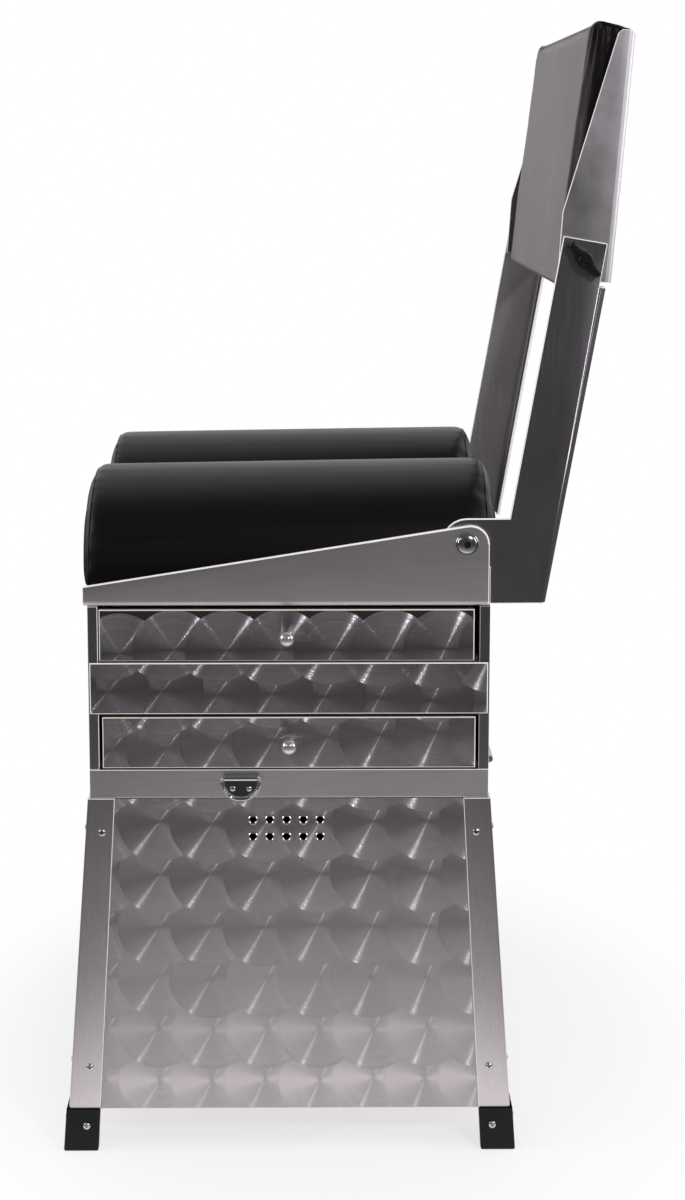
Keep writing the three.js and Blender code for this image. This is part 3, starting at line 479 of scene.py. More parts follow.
def domed_head(radius, rise, sink, recess="cross", steps=24):
    """A screw or rivet head on the origin, its crown towards +Z, with its recess."""
    form = turned_profile([(radius, -sink)] + arc((0, 0), radius, 0, 72, 4, rise / radius), steps)
    crown = [e for e in form.edges if e.is_boundary and e.verts[0].co.z > rise * 0.5]
    lid = bmesh.ops.edgeloop_fill(form, edges=crown)["faces"]
    bmesh.ops.edgeloop_fill(form, edges=[e for e in form.edges if e.is_boundary])
    if recess:
        bmesh.ops.inset_region(form, faces=lid, thickness=radius * recess_lip)
        for v in lid[0].verts:
            angle = atan2(v.co.y, v.co.x)
            if recess == "cross":
                reach = radius * (cross_waist + cross_reach * abs(cos(2 * angle)) ** 3)
            else:
                reach = radius * hexagon_reach / cos((angle % (pi / 3)) - pi / 6)
            v.co.x, v.co.y = reach * cos(angle), reach * sin(angle)
        deep = bmesh.ops.extrude_discrete_faces(form, faces=lid)["faces"]
        bmesh.ops.translate(form, verts=deep[0].verts, vec=(0, 0, -rise * recess_share))
        for face in {f for v in deep[0].verts for f in v.link_faces}:
            face.material_index = 1
    bmesh.ops.recalc_face_normals(form, faces=form.faces)
    return form


def heads(places, *shape, **options):
    """The same head at several places, each with its recess turned another way."""
    return gathered_forms([placed(domed_head(*shape, **options), stand_on(point, normal, twist_step * k))
                           for k, (point, normal) in enumerate(places)])


def raised(foot, head):
    """A closed solid drawn up from one outline to another that has as many corners."""
    form = bmesh.new()
    base = form.faces.new([form.verts.new(point) for point in foot])
    for v in grown_corners(form, [base]):
        v.co = head[min(range(len(foot)), key=lambda k: (v.co - Vector(foot[k])).length)]
    bmesh.ops.recalc_face_normals(form, faces=form.faces)
    return form


def soft_edges(made, width, segments=2, finish=-1, over=radians(30)):
    """Takes the sharpness off every edge, as a file or a mould does; the edge may have its finish."""
    bevel = made.modifiers.new("soft_edges", "BEVEL")
    bevel.width = width
    bevel.segments = segments
    bevel.limit_method = "ANGLE"
    bevel.angle_limit = over
    bevel.harden_normals = True
    bevel.use_clamp_overlap = True
    bevel.material = finish


corners = [(x, y, f"{'front' if x < 0 else 'back'}_{'left' if y < 0 else 'right'}")
           for x in (-1, 1) for y in (-1, 1)]


def corner_at(node, x_sign, y_sign, z):
    """The outer corner of a corner piece at one height, and the width of its two sides there."""
    low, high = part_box(node)
    ends = []
    for height in (low.z, high.z):
        near, far = level(node, height)
        ends.append((Vector((near.x if x_sign < 0 else far.x, near.y if y_sign < 0 else far.y, height)),
                     far.x - near.x))
    share = (z - low.z) / (high.z - low.z)
    return ends[0][0].lerp(ends[1][0], share), ends[0][1] + (ends[1][1] - ends[0][1]) * share


def ell(node, x_sign, y_sign, z, wall):
    """The L outline of a corner piece at one height."""
    corner, width = corner_at(node, x_sign, y_sign, z)
    turns = ((0, 0), (width, 0), (width, wall), (wall, wall), (wall, width), (0, width))
    return [(corner.x - x_sign * a, corner.y - y_sign * b, z) for a, b in turns]


def screw_places(name, x_sign, y_sign, z, lift):
    corner, width = corner_at(f"corner_angle_{name}", x_sign, y_sign, z)
    inset = width * screw_inset_share
    return [
        (corner + Vector((-x_sign * inset, y_sign * lift, 0)), Vector((0, y_sign, flare))),
        (corner + Vector((x_sign * lift, -y_sign * inset, 0)), Vector((x_sign, 0, flare))),
    ]


for x_sign, y_sign, name in corners:
    node = f"corner_angle_{name}"
    low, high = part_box(node)
    form = raised(*(ell(node, x_sign, y_sign, z, strip_sheet) for z in (low.z, high.z)))
    outer = [corner_at(node, x_sign, y_sign, z)[0] for z in (low.z, high.z)]
    fold = [e for e in form.edges
            if all(min((v.co - corner).length for corner in outer) < skin for v in e.verts)]
    rounded(form, fold, fold_radius, 4, clamp=False)
    strip = piece(form, f"{name}_angle", "base", "brushed_aluminium", upright_brushed, highlit_cut_edge)
    # Its rounded edges are painted bright: the painted highlight of the cut edge.
    soft_edges(strip, edge_radius, finish=1)
    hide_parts(node)
    places = [place for z in screw_heights for place in screw_places(name, x_sign, y_sign, z, 0.0)]
    piece(heads(places, *screw_head), f"{name}_screws", "base", "bright_steel", zinc, recess_shade)


# The foot caps: moulded black rubber boots, pushed over the lower ends of the angles. One
# cross-head screw on each side holds them.
def moulded_black(name, colour, dull, grain, shine):
    """Black rubber or plastic with the fine texture of its mould."""
    material, surface, place = new_finish(name)
    pores = grained(place, 900.0)
    cloud = grained(place, 30.0)
    lighter = [channel * 1.9 for channel in colour]
    feed(surface, {"Base Color": blend_colours(cloud, colour, lighter),
                   "Roughness": scaled(cloud, 0.2, dull - 0.1),
                   "Specular IOR Level": shine})
    relief(surface, pores, 0.0001, grain)
    return material


rubber = moulded_black("black_rubber", (0.005, 0.0045, 0.0055), 0.55, 0.35, 0.22)
foot_screw_height = 0.0198
cap_thickness = 0.0055
cap_wall = 0.0014
cap_chamfer = 0.002
cap_rim_radius = 0.0005
slot_depth = 0.004
cap_lift = 0.0017

for x_sign, y_sign, name in corners:
    node = f"foot_cap_{name}"
    low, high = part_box(node)
    form = raised(*(ell(node, x_sign, y_sign, z, cap_thickness) for z in (low.z, high.z)))
    top = max(form.faces, key=lambda f: f.calc_center_median().z)
    bmesh.ops.inset_region(form, faces=[top], thickness=cap_wall, use_even_offset=True)
    bmesh.ops.translate(form, verts=top.verts, vec=(0, 0, -slot_depth))
    sole = min(form.faces, key=lambda f: f.calc_center_median().z)
    rounded(form, sole.edges[:], cap_chamfer, 3)
    boot = piece(form, f"{name}_foot", "base", "black_rubber", rubber)
    soft_edges(boot, cap_rim_radius, 3)
    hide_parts(node)
    places = screw_places(name, x_sign, y_sign, foot_screw_height, cap_lift)
    piece(heads(places, *screw_head), f"{name}_foot_screws", "base", "bright_steel", zinc, recess_shade)


# The rim: a plywood frame on top of the panels, and the plain aluminium band that is folded
# over it, brushed along its length.
thin_face = 0.0032
sharp_angle = radians(60)
flat_side = 0.98


def merged_copy(node):
    """The CAD solid's shape as clean flat faces."""
    form = bmesh.new()
    form.from_mesh(cad[node].data)
    bmesh.ops.remove_doubles(form, verts=form.verts, dist=1e-6)
    bmesh.ops.dissolve_limit(form, angle_limit=radians(1.5), verts=form.verts, edges=form.edges)
    return form


def sheet_metal(node, name, body, slot, width, *finishes, paint=None, border=0.0, smooth=radians(35)):
    """A copy of a CAD sheet part, which stands for it: its cut edges, and a border beside them, are painted
    bright as a painted highlight.
    """
    form = merged_copy(node)
    bright = len(finishes)
    for face in form.faces:
        sharp = sum(e.calc_length() for e in face.edges if e.calc_face_angle(0) > sharp_angle)
        if sharp and 2 * face.calc_area() / sharp < thin_face:
            face.material_index = bright
        elif paint:
            face.material_index = paint(face)
    # The border beside the cut edges is painted bright as well: a wider painted highlight.
    if border:
        flats = [f for f in form.faces if f.material_index != bright and abs(f.normal.y) > flat_side]
        rims = bmesh.ops.inset_region(form, faces=flats, thickness=border)["faces"]
        cut = {f for f in form.faces if f.material_index == bright}
        for face in rims:
            if any(cut.intersection(e.link_faces) for e in face.edges):
                face.material_index = bright
    made = piece(form, name, body, slot, *finishes, highlit_cut_edge, smooth=smooth)
    soft_edges(made, width, 2, bright, sharp_angle)
    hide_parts(node)
    return made


def faced_board(node, name, body, width, *finishes, paint):
    """A copy of a CAD board whose metal facing has cut edges painted bright as a painted highlight, which
    stands for it.
    """
    form = merged_copy(node)
    bright = len(finishes)
    for face in form.faces:
        face.material_index = paint(face)
    rims = [e for e in form.edges if len({f.material_index for f in e.link_faces}) == 2]
    rounded(form, rims, width, 1, bright)
    made = piece(form, name, body, "spotted_panel", *finishes, highlit_cut_edge, smooth=board_smooth)
    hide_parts(node)
    return made


painted("rim_frame", plywood_edge)
level_brushed = brushed_metal("level_brushed", "X", (0.0, 0.0, 1.0), 0.74)
cross_brushed = brushed_metal("cross_brushed", "Y", (0.0, 0.0, 1.0))
sheet_metal("rim_band", "rim_cover", "base", "brushed_aluminium", edge_radius, level_brushed, cross_brushed,
            paint=lambda face: 1 if abs(face.normal.x) > 0.7 else 0)


# The strap plates: thin plated steel with a rolled knuckle at the top and two rivets. The
# D-shaped wire ring of each hangs in its knuckle.
def drawn_wire(points, radius, closed, resolution=4):
    """Round wire or piping along a row of points."""
    curve = bpy.data.curves.new("wire", "CURVE")
    curve.dimensions = "3D"
    curve.bevel_depth = radius
    curve.bevel_resolution = resolution
    curve.use_fill_caps = True
    spline = curve.splines.new("POLY")
    spline.points.add(len(points) - 1)
    spline.use_cyclic_u = closed
    for knot, point in zip(spline.points, points):
        knot.co = (*point, 1)
    bent = bpy.data.objects.new("wire", curve)
    form = bmesh.new()
    form.from_mesh(bent.to_mesh())
    bent.to_mesh_clear()
    bpy.data.objects.remove(bent)
    bmesh.ops.remove_doubles(form, verts=form.verts, dist=1e-6)
    bmesh.ops.recalc_face_normals(form, faces=form.faces)
    return form


ring_low, ring_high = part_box("strap_ring_left")
wire_radius = 0.001
bar_height = ring_high.z - wire_radius
ring_x = (ring_low.x + ring_high.x) / 2
ring_half, ring_drop, ring_bend = 0.01425, 0.0166, 0.0025
plate_half = 0.0124
plate_sheet = 0.0008
knuckle_half = 0.0122
knuckle_radius = 0.00205
knuckle_bore = 0.0014
plate_edge = 0.00018
rivet_spread, rivet_drop = 0.0061, 0.0086
rivet_head = (0.0023, 0.0011, 0.0002)
sides = ((-1, "left"), (1, "right"))
dark_plate = bright_metal("dark_plate", (0.13, 0.125, 0.13), 0.08)


def slab(outline, shift):
    """A closed solid of an outline that is moved straight on."""
    return raised(outline, [Vector(point) + Vector(shift) for point in outline])


for side, name in sides:
    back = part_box("rim_band")[0 if side < 0 else 1].y
    bar_y = (ring_low.y + ring_high.y) / 2 * -side
    round_height = bar_height + ring_half - ring_drop
    outline = [(plate_half, bar_height), (-plate_half, bar_height)]
    outline += arc((0, round_height), plate_half, 180, 360, 24)
    form = slab([(ring_x + x, back, z) for x, z in outline], (0, side * plate_sheet, 0))
    knuckle = turned_profile([(knuckle_bore, 0), (knuckle_radius, 0), (knuckle_radius, 2 * knuckle_half),
                              (knuckle_bore, 2 * knuckle_half)], 28, closed=True)
    placed(knuckle, stand_on((ring_x - knuckle_half, bar_y, bar_height), (1, 0, 0)))
    for face in knuckle.faces:
        face.material_index = 1
    plate = piece(gathered_forms([form, knuckle]), f"{name}_strap_plate", "base", "brushed_aluminium",
                  dark_plate, chrome)
    soft_edges(plate, plate_edge)
    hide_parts(f"strap_plate_{name}")
    front = back + side * plate_sheet
    rivets = [((ring_x + k * rivet_spread, front, bar_height - rivet_drop), (0, side, 0)) for k in (-1, 1)]
    piece(heads(rivets, *rivet_head, recess=None), f"{name}_strap_rivets", "base", "bright_steel", chrome)

    path = arc((ring_half - ring_bend, -ring_bend), ring_bend, 90, 0, 6)
    path += arc((0, ring_half - ring_drop), ring_half, 0, -180, 30)
    path += arc((ring_bend - ring_half, -ring_bend), ring_bend, 180, 90, 6)
    ring = piece(drawn_wire([(ring_x + x, bar_y, bar_height + z) for x, z in path], wire_radius, True),
                 f"{name}_ring", f"strap_ring_{name}", "bright_steel", chrome, smooth=pi)
    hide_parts(f"strap_ring_{name}")


# The piano hinge at the back: two aluminium leaves with rolled knuckles on one steel pin,
# riveted to the rim and to the drawer block.
painted("hinge_pin", zinc)
leaf_edge = 0.0002
for node, name, body in (("hinge_base_leaf", "lower_hinge_leaf", "base"),
                         ("hinge_block_leaf", "upper_hinge_leaf", "drawer_block")):
    leaf = piece(merged_copy(node), name, body, "brushed_aluminium", cross_brushed, smooth=radians(50))
    soft_edges(leaf, leaf_edge)
    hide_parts(node)


# The boards of the drawer block: a bottom board and two shelves of thin plywood that carry
# the trays.
for node in ("block_bottom_board", "block_lower_shelf", "block_upper_shelf"):
    painted(node, plywood)


# The block's outer panels: the same faced plywood, with bare wood at the drawer openings and
# plain metal over both ends of the front and the back panel.
block_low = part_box("block_front_panel")[0]
block_spots = spotted_sheet("spotted_block_end", "Y", (0.012, block_low.z + 0.021))
block_side_spots = spotted_sheet("spotted_block_side", "X", (base_middle.x, block_low.z + 0.018))
post_metal = brushed_metal("post_metal", "Z", (1.0, 0.0, 0.0), 0.36, 0.4)
post_depth = 0.169
face_edge = 0.0007


def end_panel_paint(out):
    """Spots outside, plain metal on the two ends, bare wood on the rest."""
    def paint(face):
        if face.normal.x * out > squarely:
            return 0
        at_end = abs(face.normal.y) > squarely and abs(face.calc_center_median().y) > post_depth
        return 1 if at_end else 2
    return paint


def facing(out):
    """Spots on what looks one way, bare wood on the rest."""
    return lambda face: 0 if face.normal.dot(out) > squarely else 1


for name, out in (("front", -1), ("back", 1)):
    faced_board(f"block_{name}_panel", f"block_{name}", "drawer_block", edge_radius, block_spots,
                post_metal, plywood_edge, paint=end_panel_paint(out))
faced_board("block_right_panel", "block_right", "drawer_block", edge_radius, block_side_spots,
            plywood_edge, paint=facing(Vector((0, 1, 0))))
strip_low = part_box("block_left_panel")[0]
middle_spots = spotted_sheet("spotted_middle", "X", (strip_low.x + 0.09315, 0.3456), radians(-2.0),
                             tone=0.66, rightwards=False)
faced_board("block_left_panel", "block_middle", "drawer_block", face_edge, middle_spots, plywood_edge,
            paint=facing(Vector((0, -1, 0))))


# The three drawers: a folded aluminium tray behind a faced plywood front, which is drawn by a
# chromed ball knob on a short neck.
tray_metal = brushed_metal("tray_metal", "X", (0.0, 0.0, 1.0), 0.62, 0.36)
upper_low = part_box("upper_drawer_face")[0]
lower_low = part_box("lower_drawer_face")[0]
upper_spots = spotted_sheet("spotted_upper", "X", (upper_low.x + 0.01475, 0.3765), radians(0.4),
                            top_row=0.0, tone=0.84)
lower_spots = spotted_sheet("spotted_lower", "X", (lower_low.x + 0.04705, 0.3045), radians(3.2), tone=0.74)
front_spots = spotted_sheet("spotted_front", "Y", (-0.008, 0.346))
ball_steel = bright_metal("ball_steel", (0.84, 0.84, 0.85), 0.08, 0.84)
ball_radius = 0.00575
tray_edge = 0.0003
neck_profile = [(0.0, 0.0), (0.0034, 0.0), (0.0034, 0.0005), (0.0028, 0.0011), (0.0026, 0.0019)]


def ball_knob(length):
    """A ball on a neck that flares to a small foot, along +Z from the origin."""
    middle = length - ball_radius
    ball = arc((0, middle), ball_radius, -60, 82.5, 19)
    return turned_profile(neck_profile + ball + [(0.0, length)], 32)


for name, out, spots in (("upper_drawer", Vector((0, -1, 0)), upper_spots),
                         ("lower_drawer", Vector((0, -1, 0)), lower_spots),
                         ("front_drawer", Vector((-1, 0, 0)), front_spots)):
    sheet_metal(f"{name}_tray", f"{name}_pan", name, "tray_aluminium", tray_edge, tray_metal)
    faced_board(f"{name}_face", f"{name}_front", name, face_edge, spots, plywood_edge, paint=facing(out))
    low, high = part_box(f"{name}_knob")
    axis = 0 if out.x else 1
    foot = (low + high) / 2
    foot[axis] = high[axis]
    form = placed(ball_knob(high[axis] - low[axis]), stand_on(foot, out))
    knob = piece(form, f"{name}_ball", name, "bright_steel", ball_steel, smooth=pi)
    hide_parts(f"{name}_knob")


# The seat tray: one brushed aluminium sheet folded up into wedge-shaped sides, with a plywood
# seat board in it.
seat_brushed = brushed_metal("seat_brushed", "X", (0.0, 0.0, 1.0), 0.76, 0.36, 0.07)
heavy_edge = 0.0008
sheet_metal("seat_tray", "seat_sheet", "drawer_block", "brushed_aluminium", heavy_edge, seat_brushed,
            border=0.0012, smooth=radians(40))
painted("seat_board", plywood)


# The bolsters: two half-round foam rolls from front to back under black vinyl, drawn tight,
# with a seam sewn round each end. The foam fills them until their ends stand out a little.
def vinyl_finish(name, stretch, dark, light, shine, sheen):
    """Black vinyl with fine lines across the way it is drawn."""
    material, surface, place = new_finish(name)
    lines = grained(place, 30.0, stretch, 8.0)
    pores = grained(place, 700.0)
    cloud = grained(place, 12.0)
    dull = scaled(lines, 0.14, 0.28)
    feed(surface, {"Base Color": blend_colours(lines, dark, light),
                   "Roughness": scaled(cloud, 0.08, dull),
                   "Specular IOR Level": shine, "Specular Tint": (1.0, 0.88, 0.96, 1),
                   "Sheen Weight": sheen, "Sheen Roughness": 0.4,
                   "Sheen Tint": (1.0, 0.80, 0.94, 1)})
    height = scaled(lines, 0.7, sum_up("MULTIPLY", pores, 0.3))
    relief(surface, height, 0.00025, 0.2)
    return material


def evaluated(made):
    """The object's mesh with its modifiers applied."""
    graph = bpy.context.evaluated_depsgraph_get()
    return bpy.data.meshes.new_from_object(made.evaluated_get(graph))


last_frame = 20


def stuffed(form, voxel, give, rests):
    """Fills a closed cover with foam: an even mesh, blown up as cloth, and still where it rests."""
    cover = finished(form, "cover")
    even = cover.modifiers.new("even", "REMESH")
    even.mode = "VOXEL"
    even.voxel_size = voxel
    start = evaluated(cover)
    cover.modifiers.clear()
    cover.data = start
    held = cover.vertex_groups.new(name="held")
    held.add([v.index for v in start.vertices if rests(v.co)], 1.0, "REPLACE")
    cloth = cover.modifiers.new("cloth", "CLOTH")
    cloth.settings.quality = 4
    cloth.settings.use_pressure = True
    cloth.settings.uniform_pressure_force = 4.0
    cloth.settings.effector_weights.gravity = 0.0
    cloth.settings.vertex_group_mass = "held"
    cloth.point_cache.frame_start = 1
    cloth.point_cache.frame_end = last_frame
    for moment in range(1, last_frame + 1):
        bpy.context.scene.frame_set(moment)
    blown = evaluated(cover)
    for v, full in zip(start.vertices, blown.vertices):
        shift = full.co - v.co
        v.co += shift * min(1.0, give(v.co) / max(shift.length, 1e-9))
    cover.modifiers.clear()
    bpy.context.scene.frame_set(1)
    finer = cover.modifiers.new("finer", "SUBSURF")
    finer.levels = finer.render_levels = 1
    form = bmesh.new()
    form.from_mesh(evaluated(cover))
    bpy.data.objects.remove(cover)
    return form


def outline_at(form, point, normal):
    """The closed line in which a plane cuts a mesh, as a row of points."""
    cut = form.copy()
    bmesh.ops.bisect_plane(cut, geom=cut.verts[:] + cut.edges[:] + cut.faces[:], plane_co=point,
                           plane_no=normal, clear_outer=True, clear_inner=True)
    cut.verts.ensure_lookup_table()
    first = here = cut.verts[0]
    before = None
    row = []
    while here is not first or not row:
        row.append(here.co.copy())
        onward = [e.other_vert(here) for e in here.link_edges if e.other_vert(here) is not before]
        before, here = here, onward[0]
    cut.free()
    return row


seat_vinyl = vinyl_finish("seat_vinyl", (0.3, 12.0, 12.0), (0.0010, 0.0010, 0.0016),
                          (0.0036, 0.0032, 0.0042), 0.28, 0.01)
bolster_voxel = 0.0045
bolster_give = 0.0060
bolster_slack = 0.0008
rear_fullness = 0.0060
front_fall = 0.0015
end_fullness = 0.0020
end_smoothing = 8
end_reach = 0.022
firm_base = 0.004
seam_inset = 0.0035
seam_radius = 0.0011
seam_proud = 0.0005
for side, name in sides:
    node = f"bolster_{name}"
    low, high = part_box(node)
    middle = (low + high) / 2
    middle.z = low.z
    form = merged_copy(node)
    for v in form.verts:
        for k in range(3):
            size = high[k] - low[k] if k == 2 else (high[k] - low[k]) / 2
            v.co[k] = middle[k] + (v.co[k] - middle[k]) * (1 - bolster_slack / size)
    base = low.z + firm_base
    form = stuffed(form, bolster_voxel, lambda place: bolster_give, lambda place: place.z < base)
    ends = [v for v in form.verts
            if min(v.co.x - low.x, high.x - v.co.x) < end_reach and v.co.z > base]
    for _ in range(end_smoothing):
        bmesh.ops.smooth_vert(form, verts=ends, factor=0.5, use_axis_x=True, use_axis_y=True,
                              use_axis_z=True)
    for v in form.verts:
        share = (v.co.x - low.x) / (high.x - low.x)
        v.co.z += (rear_fullness * share - front_fall) * max(0.0, v.co.z - low.z) / (high.z - low.z)
        v.co.x += end_fullness * (2 * share - 1)
    seams = []
    for end, way in ((low.x, 1), (high.x, -1)):
        row = outline_at(form, (end + way * seam_inset, 0, 0), (1, 0, 0))
        hub = Vector((row[0].x, middle.y, low.z))
        sunk = seam_radius - seam_proud
        row = [hub + (place - hub) * (1 - sunk / (place - hub).length) for place in row]
        for place in row:
            place.z = max(place.z, low.z + seam_radius)
        seams.append(drawn_wire(row, seam_radius, True, 2))
    roll = piece(form, f"{name}_bolster", "drawer_block", "black_vinyl", seat_vinyl, smooth=pi)
    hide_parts(node)
    piece(gathered_forms(seams), f"{name}_bolster_seams", "drawer_block", "black_vinyl", seat_vinyl,
          smooth=pi)


# The pivots of the backrest arms: a domed bolt with a hexagon socket through the tray's side
# and the arm, and a washer and nut inside.
bolt_steel = bright_metal("bolt_steel", (0.62, 0.63, 0.64), 0.2)
bolt_radius = 0.0083
bolt_flange = 0.0008
bolt_rise = 0.0027
shank_radius = 0.004
bolt_end = 0.003
bolt_lift = 0.0003
bolt_twist = 0.3
ring_edge = 0.0003
collar_profile = [(bolt_radius, -0.0002), (bolt_radius, 0.0005), (bolt_radius - 0.0003, 0.0008),
                  (bolt_radius - bolt_flange, 0.0007), (bolt_radius - 0.0012, -0.0002)]
for side, name in sides:
    low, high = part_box(f"pivot_bolt_{name}")
    middle = (low + high) / 2
    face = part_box("seat_tray")[0 if side < 0 else 1].y
    length = high.y - low.y - bolt_end
    collar = turned_profile(collar_profile, 40, closed=True)
    button = domed_head(bolt_radius - bolt_flange, bolt_rise, 0.0, recess="hex", steps=36)
    shank = turned_profile([(0, 0), (shank_radius, 0), (shank_radius, -length), (0, -length)], 24)
    whole = gathered_forms([button, collar, shank])
    placed(whole, stand_on((middle.x, face + side * bolt_lift, middle.z), (0, side, 0), bolt_twist))
    bolt = piece(whole, f"{name}_pivot_bolt", "drawer_block", "bright_steel", bolt_steel, recess_shade)
    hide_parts(f"pivot_bolt_{name}")
    for part in ("washer", "nut"):
        node = f"pivot_{part}_{name}"
        ring = piece(merged_copy(node), f"{name}_pivot_{part}", "drawer_block", "bright_steel", zinc)
        soft_edges(ring, ring_edge)
        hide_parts(node)


# The backrest arms: aluminium sheet with its rear edge folded inwards, brushed along the arm
# outside and left with its satin mill finish inside.
arm_metal = brushed_metal("arm_brushed", "Z", (1.0, 0.0, 0.0), 0.43, 0.38, 0.08)
arm_inside = brushed_metal("arm_inside", "Z", (1.0, 0.0, 0.0), 0.62, 0.55, 0.12)
# The bend's facets are painted darker: painted shade, so the fold shows no highlight.
shaded_arm_bend = brushed_metal("shaded_arm_bend", "Z", (1.0, 0.0, 0.0), 0.32, 0.62, 0.08)


def arm_side(face, side):
    """Which finish a face of an arm has: outside, inside, or the bend, painted darker as painted shade."""
    outwards = face.normal.y * side
    if abs(outwards) < flat_side:
        return 2
    return 0 if outwards > 0 else 1


for side, name in sides:
    sheet_metal(f"arm_{name}", f"{name}_arm", "backrest_arms", "brushed_aluminium", heavy_edge, arm_metal,
                arm_inside, shaded_arm_bend, paint=lambda face, side=side: arm_side(face, side), border=0.0008,
                smooth=radians(50))


# The shell of the back pad: satin aluminium sheet folded round the pad's two sides, which
# narrow towards the top. Handling has smudged its sides, and its two long bends are painted pale: a painted
# highlight.
def satin_metal(name, tone, dull):
    """Satin aluminium with soft smudges and a few small nicks."""
    material, surface, place = new_finish(name)
    smudge = grained(place, 22.0)
    fine = grained(place, 34.0, (6.0, 6.0, 1.0), 6.0)
    grade = scaled(smudge, 0.50, tone - 0.29)
    grade = scaled(fine, 0.08, grade)
    feed(surface, {"Base Color": metal_tint(grade), "Metallic": 1.0,
                   "Roughness": scaled(smudge, 0.30, dull - 0.15)})
    nick = ramped(grained(place, 190.0, detail=1.0), 0.79, 0.83, 0.0, 1.0)
    relief(surface, nick, 0.0001, 0.4)
    return material


shell_satin = satin_metal("shell_satin", 0.46, 0.42)
# The two bends are painted paler: a painted highlight where they catch the light.
highlit_shell_bend = satin_metal("highlit_shell_bend", 0.80, 0.50)
bend_start, bend_end = 0.15, 0.985
shell_edge = 0.0006


def shell_side(face):
    """The painted highlight on the two bends, satin on the rest."""
    on_bend = face.normal.x > bend_start and bend_start < abs(face.normal.y) < bend_end
    return 1 if on_bend else 0


sheet_metal("backrest_shell", "back_shell", "back_pad", "shell_aluminium", shell_edge, shell_satin,
            highlit_shell_bend, paint=shell_side, border=0.0004, smooth=radians(40))


# The back pad: foam under black vinyl, wedge-shaped, thicker at the foot. Its cover is sewn
# with piping along the top and gathered into short folds at the two upper corners.
pad_vinyl = vinyl_finish("pad_vinyl", (1.0, 12.0, 0.3), (0.0025, 0.002, 0.0025),
                         (0.010, 0.0075, 0.0095), 0.16, 0.30)
pad_low, pad_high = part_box("backrest_pad")
rake = Vector((0.0805, 0.0, 0.9968))
ahead = Vector((-rake.z, 0.0, rake.x))
across_way = Vector((0.0, 1.0, 0.0))
pad_back = 0.01468
pad_root = Vector((pad_high.x - pad_back, 0.0, pad_low.z))
pad_half = 0.1618
pad_foot = (0.0, 0.0350)
pad_foot_drop = 0.0070
pad_top_height = 0.1800
pad_top = (0.0, 0.0262)
pad_top_rise = 0.0045
pad_corner = 0.006
pad_voxel = 0.0028
pad_give = 0.0022
pad_firm_foot = 0.05
pad_firm_back = 0.003


def on_pad(depth, across, height):
    """A point by its distance before the shell, across, and up along it."""
    return pad_root + ahead * depth + rake * height + across_way * across


profile = [(pad_foot[0], 0.0), (pad_foot[1], -pad_foot_drop),
           (pad_top[1], pad_top_height + pad_top_rise), (pad_top[0], pad_top_height)]
form = raised([on_pad(depth, -pad_half, height) for depth, height in profile],
              [on_pad(depth, pad_half, height) for depth, height in profile])
# Only the long edges that run up the pad's front are rounded here.
pad_near = 0.01
edge_ways = {e: e.verts[0].co - e.verts[1].co for e in form.edges}
uprights = [e for e, way in edge_ways.items()
            if abs(way.y) < pad_near and way.length > pad_half / 2
            and min((v.co - pad_root).dot(ahead) for v in e.verts) > pad_near]
rounded(form, uprights, pad_corner, 4, clamp=False)


def give_at(place):
    """How far the cover may swell: nothing at the pad's foot, and all of it a little above."""
    return pad_give * min(1.0, max(0.0, (place - pad_root).dot(rake)) / pad_firm_foot)


form = stuffed(form, pad_voxel, give_at, lambda place: (place - pad_root).dot(ahead) < pad_firm_back)

fold_reach = 0.046
fold_depth = 0.0016
fold_pitch = 0.0085
fold_span = 0.020
fold_shift = 0.002
fold_start = 0.004
fold_fade = 0.8
fold_widening = (0.75, 0.5)
fold_valley = 0.4
for v in form.verts:
    offset = v.co - pad_root
    height = offset.dot(rake)
    fall = pad_top_height + pad_top_rise - height
    if not 0 < fall < fold_reach:
        continue
    front = pad_foot[1] + (pad_top[1] - pad_foot[1]) * height / pad_top_height
    round_corner = (front - offset.dot(ahead)) - (pad_half - abs(offset.y))
    span = max(0.0, 1 - abs(round_corner + fold_shift) / fold_span)
    fade = (1 - fall / fold_reach) ** fold_fade * min(1.0, fall / fold_start) * span
    pitch = fold_pitch * (fold_widening[0] + fold_widening[1] * fall / fold_reach)
    v.co += v.normal * fold_depth * fade * (cos(2 * pi * round_corner / pitch) - fold_valley)


def crest(form, stations, axis, toward, slack=0.0035):
    """The outermost points of a padded form in one direction, at places along an axis."""
    rows = []
    for station in stations:
        near = [v.co for v in form.verts if abs(v.co.dot(axis) - station) < slack]
        rows.append(max(near, key=lambda place: place.dot(toward)).copy())
    return rows


piping_radius = 0.0015
piping_inset = 0.004
piping_reach = 0.97
piping_sink = 0.3
front_lean, side_lean = 0.6, 0.8
stations = [pad_half * piping_reach * (k / 15 - 1) for k in range(31)]
front_line = crest(form, stations, across_way, ahead * front_lean + rake)
first = pad_root.dot(ahead) + piping_inset
last = pad_root.dot(ahead) + pad_top[1] - piping_inset
steps = [first + (last - first) * k / 6 for k in range(7)]
ends = [crest(form, steps, ahead, rake + across_way * side * side_lean) for side, _ in sides]
line = ends[0] + front_line + ends[1][::-1]
for _ in range(2):
    line = [line[0]] + [(a + b * 2 + c) / 4 for a, b, c in zip(line, line[1:], line[2:])] + [line[-1]]
line = [place - rake * piping_radius * piping_sink for place in line]
piece(drawn_wire(line, piping_radius, False, 3), "back_piping", "back_pad", "black_vinyl", seat_vinyl,
      smooth=pi)
pad = piece(form, "back_cushion", "back_pad", "black_vinyl", pad_vinyl, smooth=pi)
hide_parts("backrest_pad")


